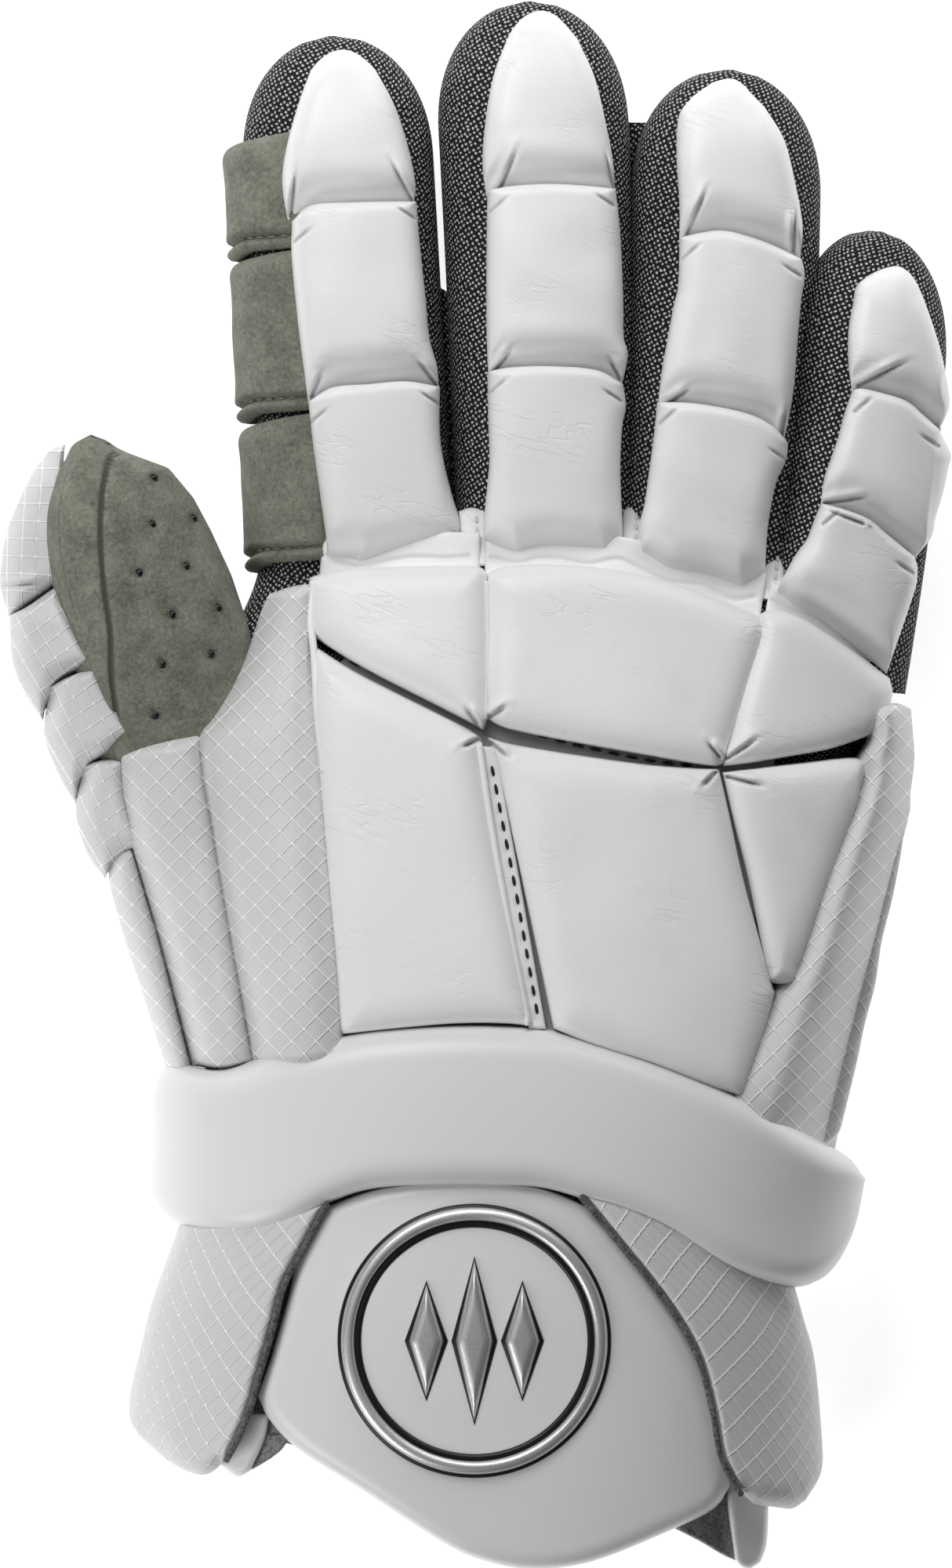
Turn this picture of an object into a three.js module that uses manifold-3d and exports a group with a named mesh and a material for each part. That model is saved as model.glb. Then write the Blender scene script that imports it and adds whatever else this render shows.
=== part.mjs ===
// A right-hand lacrosse glove, lying palm down.
// X runs across the hand from the thumb to the little finger, Y along the fingers, Z up from
// the surface that it lies on. The origin is the middle of its footprint.
import * as THREE from "three";
import { mergeVertices } from "three/addons/utils/BufferGeometryUtils.js";
import Module from "manifold-3d";

const wasm = await Module();
wasm.setup();

// Driving dimensions, in millimetres
const HAND_LENGTH = 199; // knuckle line to the end of the cuff, down the middle
const HAND_WIDTH = 148; // inner hand at its widest, across the thumb's root
const HAND_HEIGHT = 58; // inner hand at the end of the cuff
const KNUCKLE_Y = 46; // place of the knuckle line at the index finger
const KNUCKLE_DROP = 23; // fall of the knuckle line at the little finger
const CUFF_SLANT = 0.16; // fall of the cuff's end per millimetre towards the little finger
const WALL = 2; // knitted mesh, or suede with its backing
const SEAM_HEIGHT = 9; // seam between the palm and what stands on it
const PALM_LENGTH = 142; // knuckle line to the heel of the palm
const GAP = 0.3; // between pieces that are sewn or seated together

const FINGER_LENGTH = 130; // middle finger, from its root in the hand to its tip
const FINGER_WIDTH = 39;
const FINGER_HEIGHT = 27;
const FINGER_ARCH = 4; // rise of a finger's middle over its ends
const FINGER_TIP = 27; // length of the round end
const FINGER_PAD_WIDTH = 29;
const FINGER_PAD_THICKNESS = 12;
const CREASE = 1.4; // open fold between two pads

const SIDE_PATCH_THICKNESS = 5; // suede pads on the side of the index finger

const THUMB_LENGTH = 96;
const THUMB_WIDTH = 41;
const THUMB_HEIGHT = 25;
const THUMB_TIP = 30;
const THUMB_CENTRE_HEIGHT = 28;
const THUMB_PAD_THICKNESS = 11;
const THUMB_PAD_FEATHER = 0.8; // share of that thickness at the edge seen from above
const PAD_FLOOR = 1; // pads at the side hang clear of the surface by this much

const BACK_PAD_THICKNESS = 12;
const BACK_PAD_CORNER = 3.5;
const BACK_PAD_SPREAD = 0.6; // how far the stuffing pushes a pad's edge over its seam
const FLANGE_THICKNESS = 3.5;
const SIDE_PANEL_THICKNESS = 11;
const WING_THICKNESS = 8;

const BAND_ALONG = 0.573; // middle of the wrist band, as a share of HAND_LENGTH
const BAND_WIDTH = 33;
const BAND_THICKNESS = 12;
const BAND_DROP_THUMB = 12; // fall of the band at its thumb end
const BAND_DROP_LITTLE = 24; // fall of the band at its little finger end
const BAND_FLARE = 6; // how far the band stands off at its little finger end

const PLATE_THICKNESS = 7;

const BADGE_RADIUS = 28.2;
const BADGE_BAR = 2.6; // width of the raised ring
const BADGE_HEIGHT = 1.8;
const BADGE_ALONG = 0.829; // place of the badge, as a share of HAND_LENGTH

// Materials
const paint = (color, roughness, metalness = 0) =>
  new THREE.MeshStandardMaterial({ color, roughness, metalness });
const smoothLeather = paint(0xe9e9e9, 0.5);
const embossedLeather = paint(0xdedede, 0.55);
const knitMesh = paint(0x55565a, 0.95);
const suede = paint(0x7c7c70, 0.95);
const mouldedRubber = paint(0xe4e4e4, 0.45);
const satinMetal = paint(0xb9babd, 0.3, 1);

// Tables. Lengths are shares of the named sizes, angles are degrees.

// Inner hand: along and height are shares of HAND_LENGTH and HAND_HEIGHT, the rest of HAND_WIDTH.
const HAND_SECTIONS = [
  { along: -0.02, middle: 0.135, half: 0.446, height: 0.55 },
  { along: 0.17, middle: 0.071, half: 0.49, height: 0.64 },
  { along: 0.316, middle: 0.045, half: 0.495, height: 0.72 },
  { along: 0.432, middle: 0.05, half: 0.458, height: 0.8 },
  { along: 0.56, middle: 0.04, half: 0.43, height: 0.88 },
  { along: 0.7, middle: 0.015, half: 0.412, height: 0.94 },
  { along: 0.82, middle: 0, half: 0.432, height: 0.98 },
  { along: 1, middle: 0, half: 0.445, height: 1 },
];

// Fingers: across is a share of HAND_WIDTH, root, length and creases of FINGER_LENGTH or the
// finger's own length, width and height of FINGER_WIDTH and FINGER_HEIGHT, and padRoot and padTip
// of FINGER_PAD_WIDTH. A slope is a crease's rise per millimetre across the finger.
const FINGERS = [
  { name: "index", across: -0.164, root: 0, length: 0.941, width: 1, height: 0.95, lean: -3.2, roll: 1,
    creases: [0.086, 0.38, 0.695], slopes: [0.02, 0.05, 0.15], padEnd: 0.975, padRoot: 1.12, padTip: 0.93 },
  { name: "middle", across: 0.111, root: 0, length: 0.997, width: 1, height: 1, lean: -2.6, roll: 7,
    creases: [0.083, 0.374, 0.683], slopes: [-0.1, -0.19, -0.1], padEnd: 0.985, padRoot: 1.05, padTip: 0.94 },
  { name: "ring", across: 0.33, root: -0.038, length: 0.923, width: 1, height: 0.97, lean: 2.2, roll: 12,
    creases: [0.078, 0.379, 0.679], slopes: [-0.22, -0.25, -0.26], padEnd: 0.98, padRoot: 1.05, padTip: 0.9 },
  { name: "little", across: 0.505, root: -0.12, length: 0.744, width: 0.82, height: 0.9, lean: 6, roll: 24,
    creases: [0.1, 0.36, 0.62], slopes: [-0.4, -0.45, -0.32], padEnd: 0.95, padRoot: 0.84, padTip: 0.86 },
];

// Rise of a finger pad from the crease nearer the wrist, where the leather is folded under like
// wrapping paper, to the lip over the next crease. Both columns are shares.
const PAD_PROFILE = [
  { along: 0, rise: 0.42 },
  { along: 0.2, rise: 0.95 },
  { along: 0.5, rise: 1 },
  { along: 0.85, rise: 0.92 },
  { along: 1, rise: 0.6 },
];

// Thumb: root and lean as for a finger. Pads from root to tip: from and to are shares of
// THUMB_LENGTH, slope as for a crease, edge the angle of the side seen from above.
const THUMB = { across: -0.366, along: 0.322, lean: -15, roll: -150 };
const THUMB_PADS = [
  { from: 0.06, to: 0.28, slope: 0.25, edge: -46 },
  { from: 0.28, to: 0.44, slope: 0.3, edge: -40 },
  { from: 0.44, to: 0.635, slope: 0.3, edge: -28 },
  { from: 0.635, to: 0.99, slope: 0.2, edge: -8 },
];

// Outlines on the back of the hand and cuff, clockwise from the thumb side of the knuckles:
// across is a share of HAND_WIDTH, along a share of HAND_LENGTH from the knuckle line.
const outline = (...pairs) => pairs.map(([across, along]) => ({ across, along }));
const FLANGES = {
  knuckle_flange_index: outline([-0.223, -0.013], [0.007, -0.014], [0.007, 0.001], [-0.223, 0.015]),
  knuckle_flange_middle: outline([0.02, -0.012], [0.17, -0.012], [0.32, 0.006], [0.39, 0.028],
    [0.386, 0.041], [0.329, 0.024], [0.171, 0.001], [0.022, 0.001]),
};
const SIDE_PATCHES = [{ from: 0.12, to: 0.37 }, { from: 0.41, to: 0.65 }, { from: 0.7, to: 0.87 }];
const BACK_PADS = {
  knuckle_pad_index: outline([-0.232, 0.02], [0.004, 0.006], [0.009, 0.167], [-0.009, 0.163],
    [-0.227, 0.086]),
  knuckle_pad_middle: outline([0.019, 0.007], [0.171, 0.007], [0.329, 0.03], [0.39, 0.048],
    [0.404, 0.073], [0.353, 0.207], [0.306, 0.209], [0.16, 0.187], [0.02, 0.169]),
  knuckle_pad_little: outline([0.412, 0.064], [0.445, 0.055], [0.585, 0.125], [0.59, 0.15],
    [0.574, 0.176], [0.376, 0.204], [0.364, 0.199]),
  back_pad_index: outline([-0.22, 0.104], [-0.005, 0.184], [0.02, 0.194], [0.091, 0.484],
    [0.08, 0.5], [-0.188, 0.5]),
  back_pad_middle: outline([0.035, 0.192], [0.171, 0.204], [0.334, 0.223], [0.356, 0.238],
    [0.419, 0.443], [0.417, 0.464], [0.37, 0.57], [0.35, 0.575], [0.107, 0.5]),
  back_pad_little: outline([0.366, 0.219], [0.525, 0.213], [0.546, 0.237], [0.466, 0.438],
    [0.43, 0.445]),
};
const CUFF_PLATE = outline([-0.19, 0.64], [0.205, 0.64], [0.232, 0.707], [0.275, 0.76],
  [0.334, 0.857], [0.374, 0.941], [0.357, 0.988], [0.325, 1.006], [0.194, 1.051], [0.104, 1.064],
  [0.014, 1.054], [-0.065, 1.027], [-0.251, 0.947], [-0.31, 0.88], [-0.3, 0.855], [-0.229, 0.703]);

// Badge: shares of BADGE_RADIUS, from the badge's middle.
const BADGE_MARKS = [
  { across: -0.36, half: 0.13, reach: 0.42 },
  { across: 0, half: 0.14, reach: 0.6 },
  { across: 0.36, half: 0.13, reach: 0.42 },
];

// Padded panels round the sides of the hand: along as a share of HAND_LENGTH, from and to in
// degrees round the hand's section, 0 at the little finger's side and 90 on the back.
const SIDE_PANELS = {
  side_panel_thumb_1: [
    { along: 0.03, from: 127, to: 140 },
    { along: 0.1, from: 123, to: 146 },
    { along: 0.19, from: 119, to: 148 },
    { along: 0.34, from: 116, to: 139 },
    { along: 0.54, from: 112, to: 129 },
  ],
  side_panel_thumb_2: [
    { along: 0.195, from: 149.5, to: 172 },
    { along: 0.26, from: 146, to: 170 },
    { along: 0.34, from: 140.5, to: 166 },
    { along: 0.56, from: 130.5, to: 158 },
  ],
  side_panel_thumb_3: [
    { along: 0.305, from: 170, to: 196 },
    { along: 0.36, from: 166.5, to: 197 },
    { along: 0.58, from: 159.5, to: 194 },
  ],
  side_panel_little_1: [
    { along: 0.15, from: 22, to: 33 },
    { along: 0.24, from: 20, to: 44 },
    { along: 0.36, from: 23, to: 52 },
    { along: 0.48, from: 27, to: 56 },
    { along: 0.62, from: 34, to: 62 },
  ],
  side_panel_little_2: [
    { along: 0.245, from: -14, to: 18.5 },
    { along: 0.36, from: -14, to: 21.5 },
    { along: 0.48, from: -14, to: 25.5 },
    { along: 0.62, from: -14, to: 32.5 },
  ],
};
const WINGS = {
  cuff_wing_thumb: [
    { along: 0.66, from: 116, to: 186 },
    { along: 0.76, from: 121, to: 190 },
    { along: 0.88, from: 128, to: 192 },
    { along: 0.965, from: 138, to: 188 },
    { along: 0.99, from: 146, to: 180 },
  ],
  cuff_wing_little: [
    { along: 0.66, from: -8, to: 72 },
    { along: 0.76, from: -12, to: 64 },
    { along: 0.88, from: -12, to: 53 },
    { along: 0.965, from: -8, to: 43 },
    { along: 0.995, from: 0, to: 34 },
  ],
};

// Small helpers
const rad = THREE.MathUtils.degToRad;
const clamp = THREE.MathUtils.clamp;
const lerp = THREE.MathUtils.lerp;
const steps = (count, from = 0, to = 1) =>
  Array.from({ length: count + 1 }, (_, i) => lerp(from, to, i / count));

// A smooth value of one column of a table, at a place between its rows.
function follow(rows, place, column, at) {
  const places = rows.map((row) => row[place]);
  const values = rows.map((row) => row[column]);
  const spot = clamp(at, places[0], places[places.length - 1]);
  return new THREE.CubicInterpolant(places, values, 1, [0]).evaluate(spot)[0];
}

// A superellipse's point as [across, up], each from -1 to 1, at an angle in degrees.
function squircle(angle, roundness) {
  const c = Math.cos(rad(angle));
  const s = Math.sin(rad(angle));
  const power = 2 / roundness;
  return [Math.sign(c) * Math.abs(c) ** power, Math.sign(s) * Math.abs(s) ** power];
}

// Solids: each is a closed surface, turned so that its faces point outwards.
function solidOf(points, triangles) {
  const volume = triangles.reduce((sum, [a, b, c]) => {
    const cross = new THREE.Vector3().crossVectors(points[b], points[c]);
    return sum + points[a].dot(cross);
  }, 0);
  const faces = volume < 0 ? triangles.map(([a, b, c]) => [a, c, b]) : triangles;
  const geometry = new THREE.BufferGeometry().setFromPoints(points);
  geometry.setIndex(faces.flat());
  return fromGeometry(geometry);
}

function fromGeometry(geometry) {
  const bare = geometry.clone();
  bare.deleteAttribute("normal");
  bare.deleteAttribute("uv");
  const merged = mergeVertices(bare, 1e-4);
  return new wasm.Manifold(new wasm.Mesh({
    numProp: 3,
    vertProperties: merged.attributes.position.array,
    triVerts: new Uint32Array(merged.index.array),
  }));
}

function toGeometry(solid) {
  const mesh = solid.getMesh();
  const geometry = new THREE.BufferGeometry();
  geometry.setAttribute("position", new THREE.BufferAttribute(mesh.vertProperties, 3));
  geometry.setIndex(new THREE.BufferAttribute(mesh.triVerts, 1));
  geometry.computeVertexNormals();
  return geometry;
}

// A tube through closed rings of equal counts, with a cap at each end.
function loft(rings) {
  const count = rings[0].length;
  const points = rings.flat();
  const triangles = [];
  for (let k = 0; k < rings.length - 1; k += 1) {
    for (let i = 0; i < count; i += 1) {
      const a = k * count + i;
      const b = k * count + ((i + 1) % count);
      triangles.push([a, b, a + count], [b, b + count, a + count]);
    }
  }
  [0, rings.length - 1].forEach((k) => {
    const middle = points.length;
    const centre = new THREE.Vector3();
    rings[k].forEach((p) => centre.addScaledVector(p, 1 / count));
    points.push(centre);
    for (let i = 0; i < count; i += 1) {
      const a = k * count + i;
      const b = k * count + ((i + 1) % count);
      triangles.push(k === 0 ? [middle, b, a] : [middle, a, b]);
    }
  });
  return solidOf(points, triangles);
}

// A padded sheet between two grids of points of the same size, joined along the four edges.
function slab(top, bottom) {
  const rows = top.length;
  const columns = top[0].length;
  const points = [...top.flat(), ...bottom.flat()];
  const at = (layer, r, c) => layer * rows * columns + r * columns + c;
  const triangles = [];
  const quad = (a, b, c, d) => triangles.push([a, b, c], [a, c, d]);
  for (let r = 0; r < rows - 1; r += 1) {
    for (let c = 0; c < columns - 1; c += 1) {
      quad(at(0, r, c), at(0, r, c + 1), at(0, r + 1, c + 1), at(0, r + 1, c));
      quad(at(1, r, c), at(1, r + 1, c), at(1, r + 1, c + 1), at(1, r, c + 1));
    }
    const last = columns - 1;
    quad(at(0, r, 0), at(0, r + 1, 0), at(1, r + 1, 0), at(1, r, 0));
    quad(at(0, r, last), at(1, r, last), at(1, r + 1, last), at(0, r + 1, last));
  }
  for (let c = 0; c < columns - 1; c += 1) {
    const last = rows - 1;
    quad(at(0, 0, c), at(1, 0, c), at(1, 0, c + 1), at(0, 0, c + 1));
    quad(at(0, last, c), at(0, last, c + 1), at(1, last, c + 1), at(1, last, c));
  }
  return solidOf(points, triangles);
}

// A prism with vertical walls over a plan outline.
function prism(corners, low, high) {
  const ring = (z) => corners.map(([x, y]) => new THREE.Vector3(x, y, z));
  return loft([ring(low), ring(high)]);
}

const FAR = 2 * (HAND_LENGTH + FINGER_LENGTH);
const below = (z) => prism([[-FAR, -FAR], [FAR, -FAR], [FAR, FAR], [-FAR, FAR]], -FAR, z);
const above = (z) => prism([[-FAR, -FAR], [FAR, -FAR], [FAR, FAR], [-FAR, FAR]], z, FAR);
const union = (solids) => solids.reduce((all, one) => all.add(one));
const cut = (solid, ...cutters) => cutters.reduce((left, one) => left.subtract(one), solid);

// The body with the most in it: offcuts at a cut's corner aren't sewn in.
function largest(solid) {
  return solid.decompose().reduce((best, one) => (one.volume() > best.volume() ? one : best));
}

// The hand's own surface

const handAlong = (y) => (KNUCKLE_Y - y) / HAND_LENGTH;
const handY = (along) => KNUCKLE_Y - along * HAND_LENGTH;
const HAND_START = -0.02; // the hand's open front, as a share of HAND_LENGTH
const HAND_ROUNDNESS = 2.6;
const SOLE_ROUNDNESS = 4;
const SHOULDER = 0.36; // height of the hand's widest line, as a share of its height
const SOLE_PRESS = 1.5; // how far the soft sole is pressed flat by the surface it lies on

function handSection(y) {
  const at = handAlong(y);
  return {
    middle: HAND_WIDTH * follow(HAND_SECTIONS, "along", "middle", at),
    half: HAND_WIDTH * follow(HAND_SECTIONS, "along", "half", at),
    height: HAND_HEIGHT * follow(HAND_SECTIONS, "along", "height", at),
  };
}

// How far the knuckle line and the slanted cuff end move a point of the plan along Y.
const KNUCKLE_START = -0.07 * HAND_WIDTH;
const KNUCKLE_SPAN = 0.66 * HAND_WIDTH;
const KNUCKLE_CURVE = 2.6;
const CUFF_START = 0.7; // where the slant begins, as a share of HAND_LENGTH
const knuckleFall = (x) =>
  KNUCKLE_DROP * clamp((x - KNUCKLE_START) / KNUCKLE_SPAN, 0, 1.1) ** KNUCKLE_CURVE;
function planShift(x, y) {
  const knuckle = clamp(1 - handAlong(y) / 0.23, 0, 1);
  const cuff = clamp((handAlong(y) - CUFF_START) / (1 - CUFF_START), 0, 1.2);
  return -knuckleFall(x) * knuckle - CUFF_SLANT * x * cuff;
}

function handPoint(y, angle, lift, floor = 0) {
  const { middle, half, height } = handSection(y);
  const shoulder = SHOULDER * height;
  const up = Math.sin(rad(angle)) >= 0;
  const [across, rise] = squircle(angle, up ? HAND_ROUNDNESS : SOLE_ROUNDNESS);
  const x = middle + (half + lift) * across;
  const tall = up ? height - shoulder + lift : shoulder + SOLE_PRESS + lift;
  return new THREE.Vector3(x, y + planShift(x, y), Math.max(floor, shoulder + tall * rise));
}

const HAND_FACETS = 16;
const turns = (count) => steps(count - 1, 0, 360 * (1 - 1 / count));
function handBody(lift, floor, from = HAND_START, to = 1) {
  const stations = [from, ...HAND_SECTIONS.map((row) => row.along), to]
    .filter((at, i, all) => at >= from && at <= to && all.indexOf(at) === i)
    .sort((a, b) => a - b);
  return loft(stations.map((at) =>
    turns(HAND_FACETS).map((angle) => handPoint(handY(at), angle, lift, floor))));
}

// Height of the back of the hand above a point of the plan.
function backHeight(x, y, lift) {
  let station = y;
  for (let i = 0; i < 4; i += 1) station = y - planShift(x, station);
  const { middle, half, height } = handSection(station);
  const shoulder = SHOULDER * height;
  const across = clamp(Math.abs(x - middle) / (half + lift), 0, 0.995);
  const rise = (1 - across ** HAND_ROUNDNESS) ** (1 / HAND_ROUNDNESS);
  return shoulder + (height - shoulder + lift) * rise;
}

// Fingers and thumb: round-ended tubes, each in a frame of its own with Y along it, Z out of its
// back and the origin at its root.

function digitFrame(x, y, z, lean, roll) {
  return new THREE.Matrix4().makeTranslation(x, y, z)
    .multiply(new THREE.Matrix4().makeRotationZ(rad(-lean)))
    .multiply(new THREE.Matrix4().makeRotationY(rad(roll)));
}

const FINGER_ROOT = 10; // how far a finger's tube starts inside the hand
const fingers = FINGERS.map((row) => {
  const height = row.height * FINGER_HEIGHT;
  const x = row.across * HAND_WIDTH;
  const y = KNUCKLE_Y - FINGER_ROOT + row.root * FINGER_LENGTH;
  return {
    ...row,
    length: row.length * FINGER_LENGTH,
    width: row.width * FINGER_WIDTH,
    height,
    tip: FINGER_TIP,
    arch: FINGER_ARCH,
    frame: digitFrame(x, y, height / 2, row.lean, row.roll),
  };
});

const thumb = {
  length: THUMB_LENGTH,
  width: THUMB_WIDTH,
  height: THUMB_HEIGHT,
  tip: THUMB_TIP,
  arch: 0,
  frame: digitFrame(THUMB.across * HAND_WIDTH, handY(THUMB.along), THUMB_CENTRE_HEIGHT,
    THUMB.lean, THUMB.roll),
};

const DIGIT_ROUNDNESS = 2.3;
const DIGIT_FACETS = 12;

// Half width, half height and rise of a digit at a place along it, with the round end's fall.
function digitSection(digit, along, lift) {
  const over = clamp((along - (digit.length + lift - digit.tip)) / digit.tip, 0, 1);
  const fall = Math.sqrt(1 - over ** 2.2);
  return {
    half: (digit.width / 2 + lift) * fall,
    tall: (digit.height / 2 + lift) * (0.25 + 0.75 * fall),
    rise: digit.arch * Math.sin(Math.PI * clamp(along / digit.length, 0, 1)),
  };
}

function digitPoint(digit, along, angle, lift, floor = 0) {
  const { half, tall, rise } = digitSection(digit, along, lift);
  const [across, up] = squircle(angle, DIGIT_ROUNDNESS);
  const point = new THREE.Vector3(half * across, along, rise + tall * up).applyMatrix4(digit.frame);
  point.z = Math.max(point.z, floor);
  return point;
}

const TIP_RINGS = [0.35, 0.7, 0.97];
function digitBody(digit, lift, floor = 0) {
  const start = digit.length + lift - digit.tip;
  const places = [...steps(2, Math.min(0, 4 * lift), start), ...TIP_RINGS.map((share) => start + share * digit.tip)];
  return loft(places.map((along) =>
    turns(DIGIT_FACETS).map((angle) => digitPoint(digit, along, angle, lift, floor))));
}

// Pads. Each starts below the cloth that it is sewn on, and is then cut to sit on it.

const SEAT_DEPTH = 2.5;
const PAD_RIM = 0.25;
const plump = (share) => PAD_RIM + (1 - PAD_RIM) * Math.sqrt(Math.max(0, 1 - share ** 4));
const PAD_COLUMNS = [-1, -0.8, 0, 0.8, 1];
const WRAP_COLUMNS = [-1, -0.8, -0.5, -0.2, 0.2, 0.5, 0.8, 1];

// A pad on the top of a finger between two creases. Its rise is along the finger's own Z.
function fingerPad(finger, index, grow = 0) {
  const isTip = index === finger.creases.length - 1;
  const end = isTip ? finger.padEnd : finger.creases[index + 1];
  const from = finger.creases[index] * finger.length + CREASE / 2 - grow;
  const to = end * finger.length - (isTip ? 0 : CREASE / 2) + grow;
  const nextSlope = isTip ? 0 : finger.slopes[index + 1];
  const grid = (isTop) => PAD_PROFILE.map((row) => PAD_COLUMNS.map((u) => {
    const place = lerp(from, to, row.along);
    const share = place / finger.length;
    const width = FINGER_PAD_WIDTH * lerp(finger.padRoot, finger.padTip, share);
    const point = isTip ? clamp((row.along - 0.4) / 0.6, 0, 1) : 0;
    const x = u * (width / 2 + grow) * Math.sqrt(1 - 0.93 * point ** 2.4);
    const y = place + x * lerp(finger.slopes[index], nextSlope, row.along);
    const { half, tall, rise } = digitSection(finger, y, 0);
    const side = clamp(Math.abs(x) / Math.max(half, 1), 0, 0.97);
    const seat = rise + tall * (1 - side ** DIGIT_ROUNDNESS) ** (1 / DIGIT_ROUNDNESS);
    const puff = FINGER_PAD_THICKNESS * plump(Math.abs(u)) * row.rise + grow;
    return new THREE.Vector3(x, y, seat + (isTop ? puff : -SEAT_DEPTH)).applyMatrix4(finger.frame);
  }));
  return slab(grid(true), grid(false));
}

// A pad that follows a digit's surface between two places and two angles, slanted by slopes and
// feathered towards its first angle.
function wrappedPad(digit, { from, to, fromAngle, toAngle, thickness, slopes, feather }) {
  const grid = (isTop) => PAD_PROFILE.map((row) => WRAP_COLUMNS.map((u) => {
    const angle = lerp(fromAngle, toAngle, (u + 1) / 2);
    const across = squircle(angle, DIGIT_ROUNDNESS)[0] * digit.width / 2;
    const start = from * digit.length + CREASE / 2;
    const end = to * digit.length - CREASE / 2;
    const along = lerp(start, end, row.along) + across * lerp(slopes[0], slopes[1], row.along);
    const puff = thickness * lerp(feather, 1, clamp(u + 1, 0, 1)) * plump(Math.abs(u)) * row.rise;
    return digitPoint(digit, along, angle, isTop ? puff : -SEAT_DEPTH, PAD_FLOOR);
  }));
  return slab(grid(true), grid(false));
}

// A pad with a plan outline, draped over the back of the hand.
const DRAPE_RINGS = [1, 0.88, 0.5];
const CORNER_BENDS = 1;
function roundedOutline(corners, radius) {
  if (!radius) return corners;
  const shape = new THREE.Shape();
  corners.forEach((corner, i) => {
    const before = corners[(i + corners.length - 1) % corners.length];
    const after = corners[(i + 1) % corners.length];
    const towards = (other) => {
      const length = corner.distanceTo(other);
      return corner.clone().lerp(other, Math.min(radius, length * 0.42) / length);
    };
    const [a, b] = [towards(before), towards(after)];
    if (i === 0) shape.moveTo(a.x, a.y);
    else shape.lineTo(a.x, a.y);
    shape.quadraticCurveTo(corner.x, corner.y, b.x, b.y);
  });
  return shape.getPoints(CORNER_BENDS).slice(0, -1);
}

function drapedPad(corners, thickness, radius, grow = 0) {
  const plan = roundedOutline(corners.map(({ across, along }) =>
    new THREE.Vector2(across * HAND_WIDTH, handY(along))), radius);
  const centre = new THREE.Vector2();
  plan.forEach((p) => centre.addScaledVector(p, 1 / plan.length));
  const ring = (share, isTop) => plan.map((p) => {
    const reach = p.distanceTo(centre);
    const q = centre.clone().lerp(p, share * (reach + grow) / reach);
    const rise = isTop ? thickness * plump(share) + grow : -SEAT_DEPTH;
    return new THREE.Vector3(q.x, q.y, backHeight(q.x, q.y, 0) + rise);
  });
  return loft([ring(1, false), ...DRAPE_RINGS.map((share) => ring(share, true))]);
}

// A panel that wraps round the side of the hand, through rows of a table.
function sidePanel(rows, thickness, grow = 0) {
  const first = rows[0].along;
  const last = rows[rows.length - 1].along;
  const grid = (isTop) => steps(5).map((v) => PAD_COLUMNS.map((u) => {
    const at = lerp(first, last, v);
    const share = (u + 1) / 2;
    const angle = lerp(follow(rows, "along", "from", at), follow(rows, "along", "to", at), share);
    const puff = thickness * plump(Math.abs(u)) * plump(Math.abs(2 * v - 1) ** 2) + grow;
    return handPoint(handY(at), angle, isTop ? puff : -SEAT_DEPTH);
  }));
  return slab(grid(true), grid(false));
}

// Wrist band: a smooth moulded collar over the back of the wrist, from side to side.
const BAND_Y = handY(BAND_ALONG); // on the glove's centre line
const BAND_ANGLES = { from: -20, to: 194 };
const BAND_COLUMNS = [-1, -0.8, 0, 0.8, 1];
function bandY(x) {
  const drop = x < 0 ? BAND_DROP_THUMB : BAND_DROP_LITTLE;
  return BAND_Y - drop * (2 * x / HAND_WIDTH) ** 2;
}
function wristBand(grow = 0) {
  const grid = (isTop) => steps(14).map((u) => BAND_COLUMNS.map((v) => {
    const angle = lerp(BAND_ANGLES.from, BAND_ANGLES.to, u);
    const end = clamp(5 * Math.sin(Math.PI * u), 0, 1);
    const width = BAND_WIDTH * lerp(0.72, 1, end) + 2 * grow;
    const flare = BAND_FLARE * clamp(Math.cos(rad(angle)), 0, 1) ** 3;
    const puff = (BAND_THICKNESS + flare) * plump(Math.abs(v)) * lerp(0.7, 1, end) + grow;
    const lift = isTop ? puff : -SEAT_DEPTH;
    const y = bandY(handPoint(BAND_Y, angle, lift).x) + v * width / 2;
    return handPoint(y, angle, lift).setY(y);
  }));
  return slab(grid(true), grid(false));
}

// Inner hand and fingers: hollow bodies, parted into the suede palm and the mesh above it

const handSolid = handBody(0, 0);
const handHollow = handBody(-WALL, WALL, HAND_START + 0.012, 1.06);
const handSeat = handBody(GAP, 0, HAND_START - GAP / HAND_LENGTH, 1.08);
const fingerSolids = fingers.map((finger) => digitBody(finger, 0));
const fingerHollows = fingers.map((finger) => digitBody(finger, -WALL, WALL));
const fingerSeats = fingers.map((finger) => digitBody(finger, GAP));
const thumbSolid = digitBody(thumb, 0);
const thumbHollow = digitBody(thumb, -WALL, WALL);
const thumbSeat = digitBody(thumb, GAP);

const hollows = union([handHollow, thumbHollow, ...fingerHollows]);
const aboveSeam = (solid) => largest(cut(solid, below(SEAM_HEIGHT + GAP)));
const belowSeam = (solid) => largest(cut(solid, above(SEAM_HEIGHT)));
const fingerShells = fingers.map((finger, i) => cut(
  fingerSolids[i], fingerHollows[i], handSeat, ...fingerSeats.slice(0, i),
));
const sleeves = fingerShells.map(aboveSeam);
const undersides = fingerShells.map(belowSeam);
const handShell = cut(handSolid, hollows);
const upperHand = aboveSeam(handShell);

const CUFF_SEAM = 0.61; // where the liner's mesh meets the cuff's own lining, along the hand
const strip = (fromY, toY) =>
  prism([[-FAR, fromY], [FAR, fromY], [FAR, toY], [-FAR, toY]], -FAR, FAR);
const handLiner = largest(cut(upperHand, strip(-FAR, handY(CUFF_SEAM) + GAP / 2)));
const cuffLiner = largest(cut(upperHand, strip(handY(CUFF_SEAM) - GAP / 2, FAR)));
const heelY = KNUCKLE_Y - PALM_LENGTH;
const palm = largest(cut(belowSeam(handShell), strip(-FAR, heelY)));

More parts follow.
